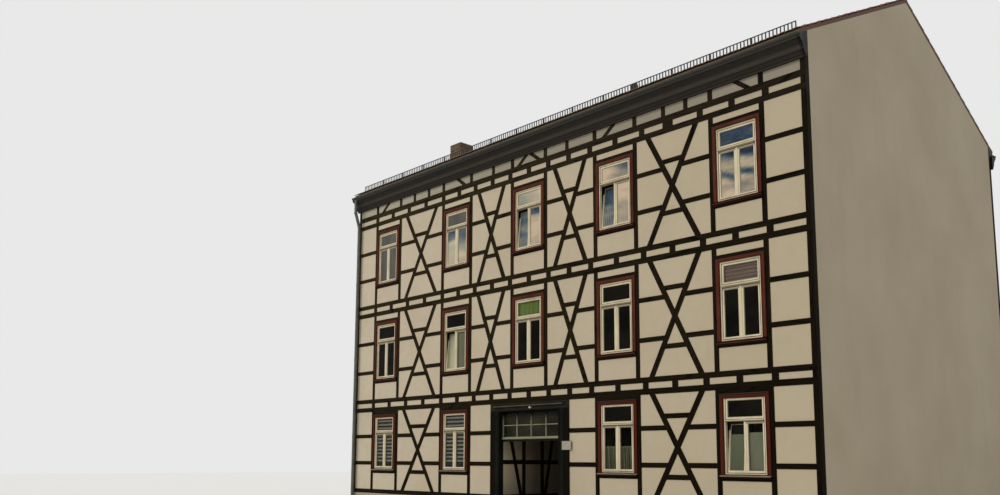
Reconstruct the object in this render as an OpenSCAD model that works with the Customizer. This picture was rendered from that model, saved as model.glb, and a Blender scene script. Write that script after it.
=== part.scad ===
// Half-timbered town house in a row: three storeys and a knee wall under a low tiled roof,
// with an open gateway and passage through the middle of the ground storey.
// Front faces -Y, +X runs to the right along the front, +Z up. Origin: centre of the base.

/* [Bays] */
// Outer edge of the house to the first inner post
end_bay_w = 1040; // [900:10:1300]
// Window bay between post centres
window_bay_w = 1276; // [1220:2:1400]
// Outer braced bay between post centres
wide_bay_w = 2150; // [1900:10:2500]
// Inner braced bay between post centres
narrow_bay_w = 1733; // [1650:1:1950]
// House depth over the timbers
house_d = 10400; // [8000:50:12500]

/* [Storeys] */
// Plinth above the street
plinth_h = 613; // [500:1:750]
// Wall plate above the casing, ground storey
ground_head_room = 103; // [60:1:400]
// Wall plate above the casing, first floor
first_head_room = 239; // [120:1:500]
// Wall plate above the casing, second floor
second_head_room = 224; // [120:1:500]
// Knee wall panels below the cornice
knee_panel_h = 230; // [180:1:400]
// Roof pitch in degrees
roof_pitch = 26; // [15:0.5:35]

/* [Timbers] */
// Depth of every wall timber through the wall
timber_d = 140; // [120:1:180]
// Face width of the posts
post_w = 120; // [100:1:150]
// Face width of the braces
brace_w = 136; // [100:1:150]
// Post centre to the foot of a brace
brace_foot = 345; // [300:1:420]
// Braces of the right wide bay further in
right_foot_in = 55; // [0:1:120]
// Face height of the sill beams
sill_h = 126; // [110:1:160]
// Face height of the wall plates
plate_h = 135; // [110:1:160]
// Height of the floor joists
joist_h = 140; // [120:1:200]
// Width of the floor joists
joist_w = 160; // [120:1:200]
// Last joist of the middle span, left of its post
joist_before_post = 165; // [0:1:250]
// Last joist of the right span, past its post
joist_past_post = 105; // [0:1:250]
// Extra width of the doubled attic joist
joist_double = 130; // [0:1:160]
// Height of the rails
rail_h = 112; // [90:1:140]
// Height of the rail that carries the knee wall
knee_rail_h = 150; // [110:1:200]
// Height of the rail under each window
sill_rail_h = 135; // [110:1:160]
// Lintel rail above the casing
lintel_h = 85; // [60:1:110]
// Foot of a knee wall strut from the post centre
knee_foot = 315; // [250:1:500]
// Foot of the middle knee wall struts from the middle of the house
knee_mid = 385; // [350:1:420]
// Head of a knee wall strut further along than its foot
knee_lean = 300; // [200:1:330]
// Knee post of a narrow bay nearer the middle of the house
knee_in = 85; // [0:1:200]
// First knee post of the right wide bay further right
knee_past_a = 140; // [0:1:250]
// Second knee post of the right wide bay further right
knee_past_b = 55; // [0:1:200]
// Infill set back from both timber faces
infill_back = 10; // [5:1:30]
// Joint line where the braces cross
joint_gap = 1; // [0.5:0.5:3]

/* [Rail levels] */
// Lower rail centre above the sill beam, ground storey
ground_lower_rail = 817; // [700:1:950]
// Lower rail centre above the sill beam, first floor
first_lower_rail = 866; // [700:1:950]
// Lower rail centre above the sill beam, second floor
second_lower_rail = 841; // [700:1:950]
// Upper rail centre below the wall plate, ground storey
ground_upper_rail = 770; // [650:1:950]
// Upper rail centre below the wall plate, first floor
first_upper_rail = 875; // [650:1:950]
// Upper rail centre below the wall plate, second floor
second_upper_rail = 849; // [650:1:950]
// Cross piece between the braces, out from the rail, ground storey
ground_cross = 262; // [150:1:300]
// Cross piece between the braces, out from the rail, first floor
first_cross = 200; // [150:1:300]
// Cross piece between the braces, out from the rail, second floor
second_cross = 165; // [150:1:300]

/* [Windows] */
// Foot of the windows above the sill beam
window_up = 635; // [560:1:720]
// Casing height, ground storey
ground_window_h = 1686; // [1500:1:1720]
// Casing height, first floor
first_window_h = 1812; // [1500:1:1850]
// Casing height, second floor
second_window_h = 1731; // [1500:1:1800]
// Upper light height, ground storey
ground_fanlight_h = 362; // [250:1:450]
// Upper light height, first floor
first_fanlight_h = 373; // [250:1:450]
// Upper light height, second floor
second_fanlight_h = 329; // [250:1:450]
// Casing board width
casing_w = 87; // [60:1:120]
// Casing board thickness
casing_t = 25; // [15:1:40]
// Casing lap on the posts and the lintel
casing_lap = 12; // [6:1:25]
// Casing head height
casing_head_h = 80; // [55:1:120]
// Fixed frame seen beside the sash
frame_side = 45; // [25:1:70]
// Fixed frame seen over the sash, upper storeys
frame_over = 44; // [25:1:70]
// Fixed frame seen over the sash, ground storey
ground_frame_over = 8; // [5:1:70]
// Fixed frame under the sash
frame_under = 33; // [25:1:70]
// Frame depth
frame_d = 60; // [52:1:80]
// Transom height, upper storeys
transom_h = 76; // [50:1:100]
// Transom height, ground storey
ground_transom_h = 50; // [40:1:100]
// Middle post width
mullion_w = 43; // [36:1:80]
// Sash member width
sash_w = 42; // [30:1:55]
// Sash depth
sash_d = 40; // [30:1:44]
// Closed sash behind the frame's front
sash_in = 8; // [0:1:8]
// Clearance round a tilted sash
sash_gap = 3; // [1:0.5:6]
// Tilt of the open sashes in degrees
sash_tilt = 6; // [2:0.5:10]
// Hinge plate width
hinge_w = 40; // [25:1:60]
// Hinge plate thickness
hinge_t = 12; // [8:1:20]
// Hinge plate in from the side of the sash
hinge_in = 50; // [20:1:100]
// Hinge plate down over the frame
hinge_down = 22; // [12:1:30]
// Hinge plate up behind the sash
hinge_up = 38; // [25:1:60]
// Glass thickness
glass_t = 6; // [4:1:10]
// Window board height
ledge_h = 62; // [40:1:90]
// Window board projection from the timber face
ledge_out = 62; // [35:1:100]
// Window board past the casing at each end
ledge_past = 10; // [0:1:30]
// Window board below the frame
ledge_drop = 32; // [10:1:45]
// Blind thickness
blind_t = 8; // [4:1:15]
// Blind past the glass at each edge
blind_lap = 15; // [5:1:30]
// Drip cap height over the ground storey casings
drip_h = 8; // [4:1:12]
// Drip cap projection from the timber face
drip_out = 45; // [30:1:70]

/* [Gateway] */
// Width over the gate posts
gate_w = 2906; // [2700:1:3000]
// Gate post width
gate_post_w = 353; // [250:1:400]
// Gate post in front of the timbers
gate_proud = 20; // [5:1:40]
// Height of the head over the gateway
gate_head_h = 218; // [175:1:300]
// Underside of the transom bar
transom_z = 2210; // [2050:1:2350]
// Transom bar height
gate_bar_h = 62; // [40:1:90]
// Fanlight frame and bar width
fan_bar_w = 42; // [30:1:60]
// Height of the bar between the fanlight's two rows
fan_row_h = 24; // [16:1:40]
// That bar below the middle of the fanlight
fan_row_drop = 30; // [0:1:80]
// Fanlight frame depth
fan_d = 45; // [30:1:60]
// Fanlight set back from the timber face
fan_back = 155; // [80:1:160]
// Head moulding height
head_mould_h = 45; // [25:1:60]
// Head moulding projection
head_mould_out = 40; // [20:1:60]
// Head moulding above the underside of the head
head_mould_up = 112; // [60:1:150]
// Head moulding short of the outer edges of the gate posts
head_mould_short = 165; // [0:1:250]
// Gate light diameter
lamp_d = 58; // [40:1:98]
// Gate light depth
lamp_h = 60; // [40:1:90]
// Gate light above the underside of the head
lamp_up = 48; // [5:1:52]
// Gate light right of the middle of the gateway
lamp_x = 120; // [-400:10:400]
// Blank plate width
plate_w = 320; // [200:1:400]
// Blank plate height
plate_tall = 220; // [150:1:300]
// Blank plate thickness
plate_t = 12; // [6:1:25]
// Blank plate centre height
plate_z = 2025; // [1700:1:2150]
// Blank plate past the outer edge of the gate post
plate_past = 95; // [0:1:120]

/* [Passage] */
// Passage wall thickness
passage_wall_t = 130; // [110:1:170]
// First passage wall bay from the front wall
passage_bay_a = 780; // [500:1:900]
// Further passage wall bays, least width
passage_bay_b = 660; // [500:1:900]
// Width of the braces in the passage walls
strut_w = 115; // [90:1:140]
// Passage rail height above the street
passage_rail_z = 1605; // [1400:1:1800]
// Paved floor thickness at street level
paving_t = 100; // [60:1:150]

/* [Masonry and floors] */
// Plinth in front of the timbers
plinth_out = 15; // [0:1:40]
// Plinth ledge inside the timbers
plinth_ledge = 90; // [60:1:150]
// Party wall thickness
party_t = 300; // [240:5:400]
// Floor board thickness
board_t = 40; // [25:1:60]
// Raised ground floor thickness
ground_floor_t = 120; // [80:1:126]

/* [Eaves and roof] */
// Cornice height
cornice_h = 385; // [300:1:450]
// Cornice projection from the timber face
cornice_out = 280; // [200:1:350]
// Cornice and gutter past the ends of the house
cornice_past = 50; // [0:1:100]
// Gutter outside radius
gutter_r = 70; // [55:1:90]
// Gutter sheet thickness
gutter_t = 4; // [3:1:8]
// Gutter axis in front of the timber face
gutter_out = 250; // [220:1:270]
// Flat cut under the gutter where it rests
gutter_flat = 1; // [0.5:0.5:3]
// Clearance of roof edge and cornice from the gutter
gutter_clear = 5; // [2:1:15]
// Roof covering thickness, measured upright
roof_t = 90; // [70:1:140]
// Roof edge in front of the timber face
eave_out = 215; // [185:1:245]
// Downpipe diameter
pipe_d = 100; // [80:1:120]
// Collar of the downpipe at its bends
pipe_collar_d = 118; // [100:1:140]
// Downpipe axis in front of the timber face
pipe_out = 95; // [75:1:130]
// Downpipe axis from the end of the house
pipe_in = 110; // [80:1:200]
// Downpipe above the street
pipe_foot = 150; // [100:5:300]
// Downpipe bracket size
bracket_s = 30; // [20:1:50]
// Clearance of the cornice round the downpipe
pipe_clear = 6; // [3:1:15]
// Snow guard height
guard_h = 215; // [150:1:300]
// Snow guard bar size
guard_bar = 18; // [12:1:25]
// Lower bar of the snow guard above the roof
guard_lift = 30; // [15:1:60]
// Snow guard behind the timber face
guard_back = 40; // [0:1:120]
// Snow guard short of the ends of the roof
guard_short = 190; // [100:1:400]
// Snow guard post spacing, at most
guard_step = 1130; // [900:10:1400]
// Ridge tile half width
ridge_half = 150; // [110:1:200]
// Ridge tile thickness
ridge_t = 35; // [20:1:50]
// Brick chimney width along the ridge
chimney_w = 510; // [400:1:640]
// Brick chimney depth
chimney_deep = 530; // [400:1:640]
// Brick chimney above the roof at its back
chimney_rise = 330; // [200:5:1200]
// Brick chimney centre from the left end
chimney_x = 3182; // [2500:1:4000]
// Brick chimney front behind the timber face
chimney_y = 1500; // [1300:10:2000]
// Flue width
flue_w = 260; // [180:1:300]
// Flue depth below the top
flue_deep = 600; // [300:10:900]
// Small chimney width
vent_w = 140; // [110:1:200]
// Small chimney above the roof at its back
vent_rise = 256; // [150:1:900]
// Small chimney centre from the left end
vent_x = 10140; // [9500:1:11000]
// Small chimney front behind the timber face
vent_y = 2000; // [1800:10:2400]
// Clearance round a chimney in the roof
chimney_gap = 5; // [2:1:15]

/* [Hidden] */
$fn = 48;

// Kinds of bay from left to right, numbered from 0
KINDS = ["end", "window", "wide", "window", "narrow", "window", "narrow", "window", "wide",
    "window", "end"];
function bay_w(kind) = kind == "end" ? end_bay_w : kind == "window" ? window_bay_w
    : kind == "wide" ? wide_bay_w : narrow_bay_w;
BAYS = [for (kind = KINDS) bay_w(kind)];
function last() = len(KINDS);
function middle() = (last() - 1) / 2;
function sum_to(list, n) = n < 1 ? 0 : list[n - 1] + sum_to(list, n - 1);
house_w = sum_to(BAYS, last());
left = -house_w / 2;
front = -house_d / 2;
// Post centres, the end posts flush with the ends of the house
function post_x(k) = k == 0 ? left + post_w / 2
    : k == last() ? -left - post_w / 2 : left + sum_to(BAYS, k);
// The gateway takes the middle bay and part of its neighbours on the ground storey
function at_gate(k, s) = s < 1 && (k == middle() || k == middle() + 1);
function beside_gate(k, s) = s < 1 && abs(k - middle()) <= 1;

// Levels of each storey s from 0 to 2
LOWER_RAIL = [ground_lower_rail, first_lower_rail, second_lower_rail];
UPPER_RAIL = [ground_upper_rail, first_upper_rail, second_upper_rail];
CROSS = [ground_cross, first_cross, second_cross];
WINDOW_H = [ground_window_h, first_window_h, second_window_h];
FANLIGHT_H = [ground_fanlight_h, first_fanlight_h, second_fanlight_h];
HEAD_ROOM = [ground_head_room, first_head_room, second_head_room];
STOREYS = [0, 1, 2];
WALL_H = [for (s = STOREYS) window_up + WINDOW_H[s] + HEAD_ROOM[s]];
function sill_z(s) = s < 1 ? plinth_h : plate_top(s - 1) + joist_h;
function wall_z(s) = sill_z(s) + sill_h;
function wall_top(s) = wall_z(s) + WALL_H[s];
function plate_top(s) = wall_top(s) + plate_h;
function window_z(s) = wall_z(s) + window_up;
function window_top(s) = window_z(s) + WINDOW_H[s];
function frame_top(s) = window_top(s) - casing_lap;
function lintel_top(s) = s < 1 ? wall_top(s) : window_top(s) + lintel_h;
function lower_rail_z(s) = wall_z(s) + LOWER_RAIL[s];
function upper_rail_z(s) = wall_top(s) - UPPER_RAIL[s];
knee_z = plate_top(2) + joist_h;
knee_panel_z = knee_z + knee_rail_h;
eaves_z = knee_panel_z + knee_panel_h;
eaves_plate_top = eaves_z + plate_h;
cornice_top = eaves_z + cornice_h;
roof_slope = tan(roof_pitch);
gutter_rim = cornice_top + gutter_r - gutter_flat;
// Underside and top of the front roof slope at a distance y behind the timber face
function roof_under(y) = gutter_rim + gutter_clear + (y + eave_out) * roof_slope;
function roof_over(y) = roof_under(y) + roof_t;
gate_post_d = gate_proud + timber_d;
gate_head_z = wall_top(0) - gate_head_h;
passage_w = gate_w - 2 * gate_post_w;
passage_half = passage_w / 2;
inner_front = front + timber_d;
inner_d = house_d - 2 * timber_d;

// A drawing in width and height stood up as a slab that starts at depth y
module upright(y, deep) {
    translate([0, y + deep, 0])
        rotate([90, 0, 0])
            linear_extrude(deep)
                children();
}

// A drawing in depth and height carried along the width from x
module along_x(x, wide) {
    translate([x, 0, 0])
        rotate([90, 0, 90])
            linear_extrude(wide)
                children();
}

// A rectangle from its two corners
module span(x0, x1, z0, z1) {
    translate([x0, z0])
        square([x1 - x0, z1 - z0]);
}

// A block from its two corners
module block(x0, x1, y0, y1, z0, z1) {
    translate([x0, y0, z0])
        cube([x1 - x0, y1 - y0, z1 - z0]);
}

// The same piece on the front and, turned about, on the back
module on_both_faces() {
    children();
    mirror([0, 1, 0])
        children();
}

// The same piece on the left and the right
module on_both_sides() {
    children();
    mirror([1, 0, 0])
        children();
}

// Braces of one bay: foot and head centres and half width along the beam
function foot_in(k) = brace_foot + (k == last() - 3 ? right_foot_in : 0);
function arm_low(k) = post_x(k) + foot_in(k);
function arm_high(k) = post_x(k + 1) - foot_in(k);
function arm_lean(k, s) = (arm_high(k) - arm_low(k)) / WALL_H[s];
function arm_half(k, s) = brace_w / 2 * sqrt(1 + pow(arm_lean(k, s), 2));
function rising_x(k, s, z) = arm_low(k) + arm_lean(k, s) * (z - wall_z(s));
function falling_x(k, s, z) = arm_high(k) - arm_lean(k, s) * (z - wall_z(s));

// Polygon of a whole arm; the sign is 1 for rising and -1 for falling
module whole_arm(k, s, sign) {
    half = arm_half(k, s);
    low = sign > 0 ? arm_low(k) : arm_high(k);
    high = sign > 0 ? arm_high(k) : arm_low(k);
    polygon([[low - half, wall_z(s)], [low + half, wall_z(s)],
        [high + half, wall_top(s)], [high - half, wall_top(s)]]);
}

// The falling arm is cut in two at the crossing
module half_arm_above(k, s) {
    half = arm_half(k, s);
    near = wall_z(s) + WALL_H[s] / 2 + joint_gap / 2 / arm_lean(k, s);
    far = near + half / arm_lean(k, s);
    polygon([[arm_low(k) - half, wall_top(s)], [falling_x(k, s, near) - half, near],
        [falling_x(k, s, far) + half, far], [arm_low(k) + half, wall_top(s)]]);
}

module half_arm_below(k, s) {
    half = arm_half(k, s);
    near = wall_z(s) + WALL_H[s] / 2 - joint_gap / 2 / arm_lean(k, s);
    far = near - half / arm_lean(k, s);
    polygon([[arm_high(k) + half, wall_z(s)], [falling_x(k, s, near) + half, near],
        [falling_x(k, s, far) - half, far], [arm_high(k) - half, wall_z(s)]]);
}

// Left end of the bay's clear width and its right end
function clear_l(k) = post_x(k) + post_w / 2;
function clear_r(k) = post_x(k + 1) - post_w / 2;

// Side rail from each post to the nearer arm; upper rails meet the falling arm on the left
module side_rails(k, s, z, sign) {
    half = arm_half(k, s);
    low = z - rail_h / 2;
    high = z + rail_h / 2;
    arm_l_low = sign > 0 ? falling_x(k, s, low) : rising_x(k, s, low);
    arm_l_high = sign > 0 ? falling_x(k, s, high) : rising_x(k, s, high);
    arm_r_low = sign > 0 ? rising_x(k, s, low) : falling_x(k, s, low);
    arm_r_high = sign > 0 ? rising_x(k, s, high) : falling_x(k, s, high);
    polygon([[clear_l(k), low], [arm_l_low - half, low],
        [arm_l_high - half, high], [clear_l(k), high]]);
    polygon([[arm_r_low + half, low], [clear_r(k), low],
        [clear_r(k), high], [arm_r_high + half, high]]);
}

// Short piece between the two arms
module cross_piece(k, s, z, sign) {
    half = arm_half(k, s);
    low = z - rail_h / 2;
    high = z + rail_h / 2;
    arm_l_low = sign > 0 ? falling_x(k, s, low) : rising_x(k, s, low);
    arm_l_high = sign > 0 ? falling_x(k, s, high) : rising_x(k, s, high);
    arm_r_low = sign > 0 ? rising_x(k, s, low) : falling_x(k, s, low);
    arm_r_high = sign > 0 ? rising_x(k, s, high) : falling_x(k, s, high);
    polygon([[arm_l_low + half, low], [arm_r_low - half, low],
        [arm_r_high - half, high], [arm_l_high + half, high]]);
}

function has_braces(k, s) = (KINDS[k] == "wide" || KINDS[k] == "narrow") && !beside_gate(k, s);
function has_window(k, s) = KINDS[k] == "window" && !beside_gate(k, s);

// Runs its children for each bay of a kind on each storey, as $k and $s
module each_braced() {
    for ($s = STOREYS, $k = [0:last() - 1])
        if (has_braces($k, $s))
            children();
}

// Wall drawings in width and height
module posts_drawing() {
    for (s = STOREYS, k = [0:last()])
        if (!at_gate(k, s))
            span(post_x(k) - post_w / 2, post_x(k) + post_w / 2, wall_z(s), wall_top(s));
    for (s = STOREYS, k = [0, last()])
        span(post_x(k) - post_w / 2, post_x(k) + post_w / 2, plate_top(s), plate_top(s) + joist_h);
    knee_posts_drawing();
}

// Knee wall posts: over every post, and two or one between in the braced bays
module knee_posts_drawing() {
    for (k = [0:last()])
        span(post_x(k) - post_w / 2, post_x(k) + post_w / 2, knee_panel_z, eaves_z);
    for (k = [0:last() - 1])
        if (KINDS[k] == "wide")
            for (part = [1, 2])
                knee_post(post_x(k) + wide_bay_w * part / 3 + knee_past(k, part));
    for (k = [0:last() - 1])
        if (KINDS[k] == "narrow")
            knee_post(post_x(k) + narrow_bay_w / 2 + (k < middle() ? knee_in : -knee_in));
}

function knee_past(k, part) = k < middle() ? 0 : part < 2 ? knee_past_a : knee_past_b;

module knee_post(x) {
    span(x - rail_h / 2, x + rail_h / 2, knee_panel_z, eaves_z);
}

module beams_drawing() {
    for (side = [-1, 1])
        span(min(side * gate_w / 2, side * house_w / 2), max(side * gate_w / 2, side * house_w / 2),
            sill_z(0), wall_z(0));
    for (s = [1, 2])
        span(left, -left, sill_z(s), wall_z(s));
    for (s = STOREYS)
        span(left, -left, wall_top(s), plate_top(s));
    span(left, -left, knee_z, knee_panel_z);
    span(left, -left, eaves_z, eaves_plate_top);
}

module rails_drawing() {
    for (s = STOREYS, k = [0:last() - 1]) {
        if (KINDS[k] == "end")
            plain_rails(clear_l(k), clear_r(k), s);
        if (has_braces(k, s)) {
            side_rails(k, s, upper_rail_z(s), 1);
            side_rails(k, s, lower_rail_z(s), -1);
            cross_piece(k, s, upper_rail_z(s) + CROSS[s], 1);
            cross_piece(k, s, lower_rail_z(s) - CROSS[s], -1);
        }
        if (has_window(k, s)) {
            span(clear_l(k), clear_r(k), window_z(s) - sill_rail_h, window_z(s));
            span(clear_l(k), clear_r(k), frame_top(s), lintel_top(s));
        }
    }
    plain_rails(clear_l(middle() - 1), -gate_w / 2, 0);
    plain_rails(gate_w / 2, clear_r(middle() + 1), 0);
}

module plain_rails(x0, x1, s) {
    for (z = [lower_rail_z(s), upper_rail_z(s)])
        span(x0, x1, z - rail_h / 2, z + rail_h / 2);
}

module arms_drawing() {
    each_braced() {
        whole_arm($k, $s, 1);
        half_arm_above($k, $s);
        half_arm_below($k, $s);
    }
}

// Short knee wall struts: foot at x, head a knee panel's height further along
module knee_strut(x, sign) {
    half = rail_h / 2 * sqrt(2);
    polygon([[x - half, knee_panel_z], [x + half, knee_panel_z],
        [x + sign * knee_lean + half, eaves_z], [x + sign * knee_lean - half, eaves_z]]);
}

module knee_struts_drawing() {
    knee_strut(post_x(1) + knee_foot, 1);
    knee_strut(post_x(middle() - 1) - knee_foot, -1);
    knee_strut(-knee_mid, 1);
    knee_strut(knee_mid, -1);
    knee_strut(post_x(middle() + 2) + knee_foot, 1);
    knee_strut(post_x(last() - 1) - knee_foot, -1);
}

// Joist centres: even steps between marks that lie near the posts
JOIST_MARKS = [post_x(1), post_x(middle() - 2), post_x(middle() + 2) - joist_before_post,
    post_x(last() - 1) + joist_past_post];
JOIST_STEPS = [4, 8, 6];
JOISTS = concat([post_x(1)], [for (part = [0:2], i = [1:JOIST_STEPS[part]])
    JOIST_MARKS[part] + (JOIST_MARKS[part + 1] - JOIST_MARKS[part]) * i / JOIST_STEPS[part]]);

// One joist of the attic floor, in the right wide bay, is doubled
function joist_l(i, s) = JOISTS[i] - joist_w / 2 - (s > 1 && i == len(JOISTS) - 4 ? joist_double : 0);
function joist_r(i) = JOISTS[i] + joist_w / 2;

module joist_ends_drawing(s) {
    for (i = [0:len(JOISTS) - 1])
        span(joist_l(i, s), joist_r(i), plate_top(s), plate_top(s) + joist_h);
}

// Everything in the plane of a wall that isn't infill
module not_infill() {
    posts_drawing();
    beams_drawing();
    rails_drawing();
    each_braced() {
        whole_arm($k, $s, 1);
        whole_arm($k, $s, -1);
    }
    knee_struts_drawing();
    for (s = STOREYS)
        joist_ends_drawing(s);
    for (s = STOREYS, k = [0:last() - 1])
        if (has_window(k, s))
            span(clear_l(k), clear_r(k), window_z(s), frame_top(s));
    span(-gate_w / 2, gate_w / 2, 0, wall_top(0));
}

module infill_drawing() {
    difference() {
        span(left, -left, sill_z(0), eaves_plate_top);
        not_infill();
    }
}

// Timbers of the front wall and, alike, of the back wall
module wall_timbers() {
    color("#1e1a16")
        on_both_faces()
            upright(front, timber_d)
                children();
}

module wall_posts() {
    wall_timbers()
        posts_drawing();
}

module wall_beams() {
    wall_timbers()
        beams_drawing();
}

module wall_rails() {
    wall_timbers()
        rails_drawing();
}

module wall_braces() {
    wall_timbers() {
        arms_drawing();
        knee_struts_drawing();
    }
}

module wall_infill() {
    color("#b0a385")
        on_both_faces()
            upright(front + infill_back, timber_d - 2 * infill_back)
                infill_drawing();
}

// Masonry
module house_plinth() {
    color("#a89c80")
        on_both_faces()
            on_both_sides()
                block(gate_w / 2, house_w / 2, front - plinth_out, inner_front + plinth_ledge,
                    0, plinth_h);
}

module party_wall() {
    reach = house_d / 2 - timber_d - plinth_ledge;
    upper = house_d / 2 - timber_d;
    along_x(-left - party_t, party_t)
        polygon([[-reach, 0], [reach, 0], [reach, plinth_h], [upper, plinth_h],
            [upper, roof_under(timber_d)], [0, roof_under(house_d / 2)],
            [-upper, roof_under(timber_d)], [-upper, plinth_h], [-reach, plinth_h]]);
}

module party_walls() {
    color("#a89c80")
        on_both_sides()
            party_wall();
}

// Passage: paved floor, low walls, and a timber wall on each side
passage_sill_top = wall_z(0);
passage_plate_z = wall_top(0);

module passage_floor() {
    color("#8a8275")
        block(-passage_half, passage_half, front, -front, 0, paving_t);
}

module passage_plinth() {
    color("#a89c80")
        on_both_sides()
            block(passage_half, passage_half + passage_wall_t + plinth_ledge,
                inner_front, -inner_front, 0, plinth_h);
}

// Posts of a passage wall, from the front gate post to the middle, then mirrored
function passage_count() = floor((-inner_front - passage_bay_a) / passage_bay_b);
PASSAGE_POSTS = [for (i = [0:passage_count()])
    inner_front + passage_bay_a - i * (inner_front + passage_bay_a) / passage_count()];

// Drawing in depth and height carried through a passage wall
module through_passage_walls(inset) {
    on_both_sides()
        along_x(passage_half + inset, passage_wall_t - 2 * inset)
            children();
}

module passage_posts_drawing() {
    for (y = PASSAGE_POSTS)
        span(y - post_w / 2, y + post_w / 2, passage_sill_top, passage_plate_z);
    for (i = [0:passage_count() - 1])
        span(-PASSAGE_POSTS[i] - post_w / 2, -PASSAGE_POSTS[i] + post_w / 2,
            passage_sill_top, passage_plate_z);
}

module passage_posts() {
    color("#1e1a16")
        through_passage_walls(0)
            passage_posts_drawing();
}

module passage_beams() {
    color("#1e1a16")
        through_passage_walls(0) {
            span(inner_front, -inner_front, plinth_h, passage_sill_top);
            span(inner_front, -inner_front, passage_plate_z, passage_plate_z + plate_h);
        }
}

PASSAGE_EDGES = concat([inner_front - post_w / 2], PASSAGE_POSTS,
    [for (i = [passage_count() - 1:-1:0]) -PASSAGE_POSTS[i]], [-inner_front + post_w / 2]);
// The first and third bay from each end of a passage wall hold a brace
function bays_along() = len(PASSAGE_EDGES) - 1;
function braced_along(i) = i == 0 || i == 2 || i == bays_along() - 3 || i == bays_along() - 1;

module passage_rails_drawing() {
    for (i = [0:bays_along() - 1])
        if (braced_along(i))
            braced_passage_rail(i);
        else
            span(bay_front(i), bay_back(i),
                passage_rail_z - rail_h / 2, passage_rail_z + rail_h / 2);
}

function passage_sign(i) = i == 0 || i == bays_along() - 3 ? -1 : 1;
function bay_front(i) = PASSAGE_EDGES[i] + post_w / 2;
function bay_back(i) = PASSAGE_EDGES[i + 1] - post_w / 2;
passage_wall_h = passage_plate_z - passage_sill_top;
function strut_lean(i) = (bay_back(i) - bay_front(i) - strut_w) / passage_wall_h;
function strut_y(i, z) = passage_sign(i) > 0
    ? bay_front(i) + strut_w / 2 + strut_lean(i) * (z - passage_sill_top)
    : bay_back(i) - strut_w / 2 - strut_lean(i) * (z - passage_sill_top);

module braced_passage_rail(i) {
    low = passage_rail_z - rail_h / 2;
    high = passage_rail_z + rail_h / 2;
    half = strut_w / 2;
    polygon([[bay_front(i), low], [strut_y(i, low) - half, low],
        [strut_y(i, high) - half, high], [bay_front(i), high]]);
    polygon([[strut_y(i, low) + half, low], [bay_back(i), low],
        [bay_back(i), high], [strut_y(i, high) + half, high]]);
}

module passage_rails() {
    color("#1e1a16")
        through_passage_walls(0)
            passage_rails_drawing();
}

module passage_braces_drawing() {
    half = strut_w / 2;
    for (i = [0:bays_along() - 1])
        if (braced_along(i))
            polygon([[strut_y(i, passage_sill_top) - half, passage_sill_top],
                [strut_y(i, passage_sill_top) + half, passage_sill_top],
                [strut_y(i, passage_plate_z) + half, passage_plate_z],
                [strut_y(i, passage_plate_z) - half, passage_plate_z]]);
}

module passage_braces() {
    color("#1e1a16")
        through_passage_walls(0)
            passage_braces_drawing();
}

module passage_infill() {
    color("#a3977c")
        through_passage_walls(infill_back)
            difference() {
                span(inner_front, -inner_front, passage_sill_top, passage_plate_z);
                passage_posts_drawing();
                passage_rails_drawing();
                passage_braces_drawing();
            }
}

// Floors
module ground_floor() {
    color("#7d6a4f")
        on_both_sides()
            block(passage_half + passage_wall_t, house_w / 2 - party_t,
                inner_front, -inner_front, plinth_h, plinth_h + ground_floor_t);
}

module floor_joists() {
    color("#1e1a16")
        for (s = STOREYS, i = [0:len(JOISTS) - 1])
            block(joist_l(i, s), joist_r(i), front, -front, plate_top(s), plate_top(s) + joist_h);
}

// Boards of the first, second and attic floors on their joists
module upper_floors() {
    color("#7d6a4f")
        for (z = [sill_z(1), sill_z(2), knee_z])
            block(left + party_t, -left - party_t, inner_front, -inner_front, z, z + board_t);
}

// Windows
function bay_mid(k) = (post_x(k) + post_x(k + 1)) / 2;
frame_half = (window_bay_w - post_w) / 2;
casing_half = frame_half + casing_lap;
FRAME_OVER = [ground_frame_over, frame_over, frame_over];
TRANSOM_H = [ground_transom_h, transom_h, transom_h];
// Openings for the sashes in the fixed frame: light 0 is the upper one, 1 left, 2 right
open_half = casing_half - casing_w - frame_side;
function open_l(light) = light == 2 ? mullion_w / 2 : -open_half;
function open_r(light) = light == 1 ? -mullion_w / 2 : open_half;
function fan_top(s) = window_top(s) - casing_head_h - FRAME_OVER[s];
function fan_foot(s) = fan_top(s) - FANLIGHT_H[s] - 2 * sash_w;
function open_foot(s, light) = light == 0 ? fan_foot(s) : window_z(s) + frame_under;
function open_top(s, light) = light == 0 ? fan_top(s) : fan_foot(s) - TRANSOM_H[s];
LIGHTS = [0, 1, 2];

// Open sashes of the front: storey and bay, always the left light
TILTED = [[2, 5], [2, 7], [1, 3], [0, 9]];
function is_tilted(s, k) = len([for (t = TILTED) if (t == [s, k]) t]) > 0;

module each_window() {
    for ($s = STOREYS, $k = [0:last() - 1])
        if (has_window($k, $s))
            translate([bay_mid($k), 0, 0])
                children();
}

module casing_side() {
    block(-casing_half, -casing_half + casing_w, front - casing_t, front,
        window_z($s), window_top($s) - casing_head_h);
}

module casing_sides() {
    color("#55231e")
        on_both_faces()
            each_window()
                on_both_sides()
                    casing_side();
}

module casing_heads() {
    color("#55231e")
        on_both_faces()
            each_window()
                block(-casing_half, casing_half, front - casing_t, front,
                    window_top($s) - casing_head_h, window_top($s));
}

module window_boards() {
    color("#4a2620")
        on_both_faces()
            each_window()
                block(-casing_half - ledge_past, casing_half + ledge_past, front - ledge_out, front,
                    window_z($s) - ledge_drop - ledge_h, window_z($s) - ledge_drop);
}

// Drip caps lie on the ground storey casings only
module drip_caps() {
    color("#6e716a")
        on_both_faces()
            each_window()
                if ($s < 1)
                    block(-casing_half, casing_half, front - drip_out, front,
                        window_top($s), window_top($s) + drip_h);
}

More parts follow.
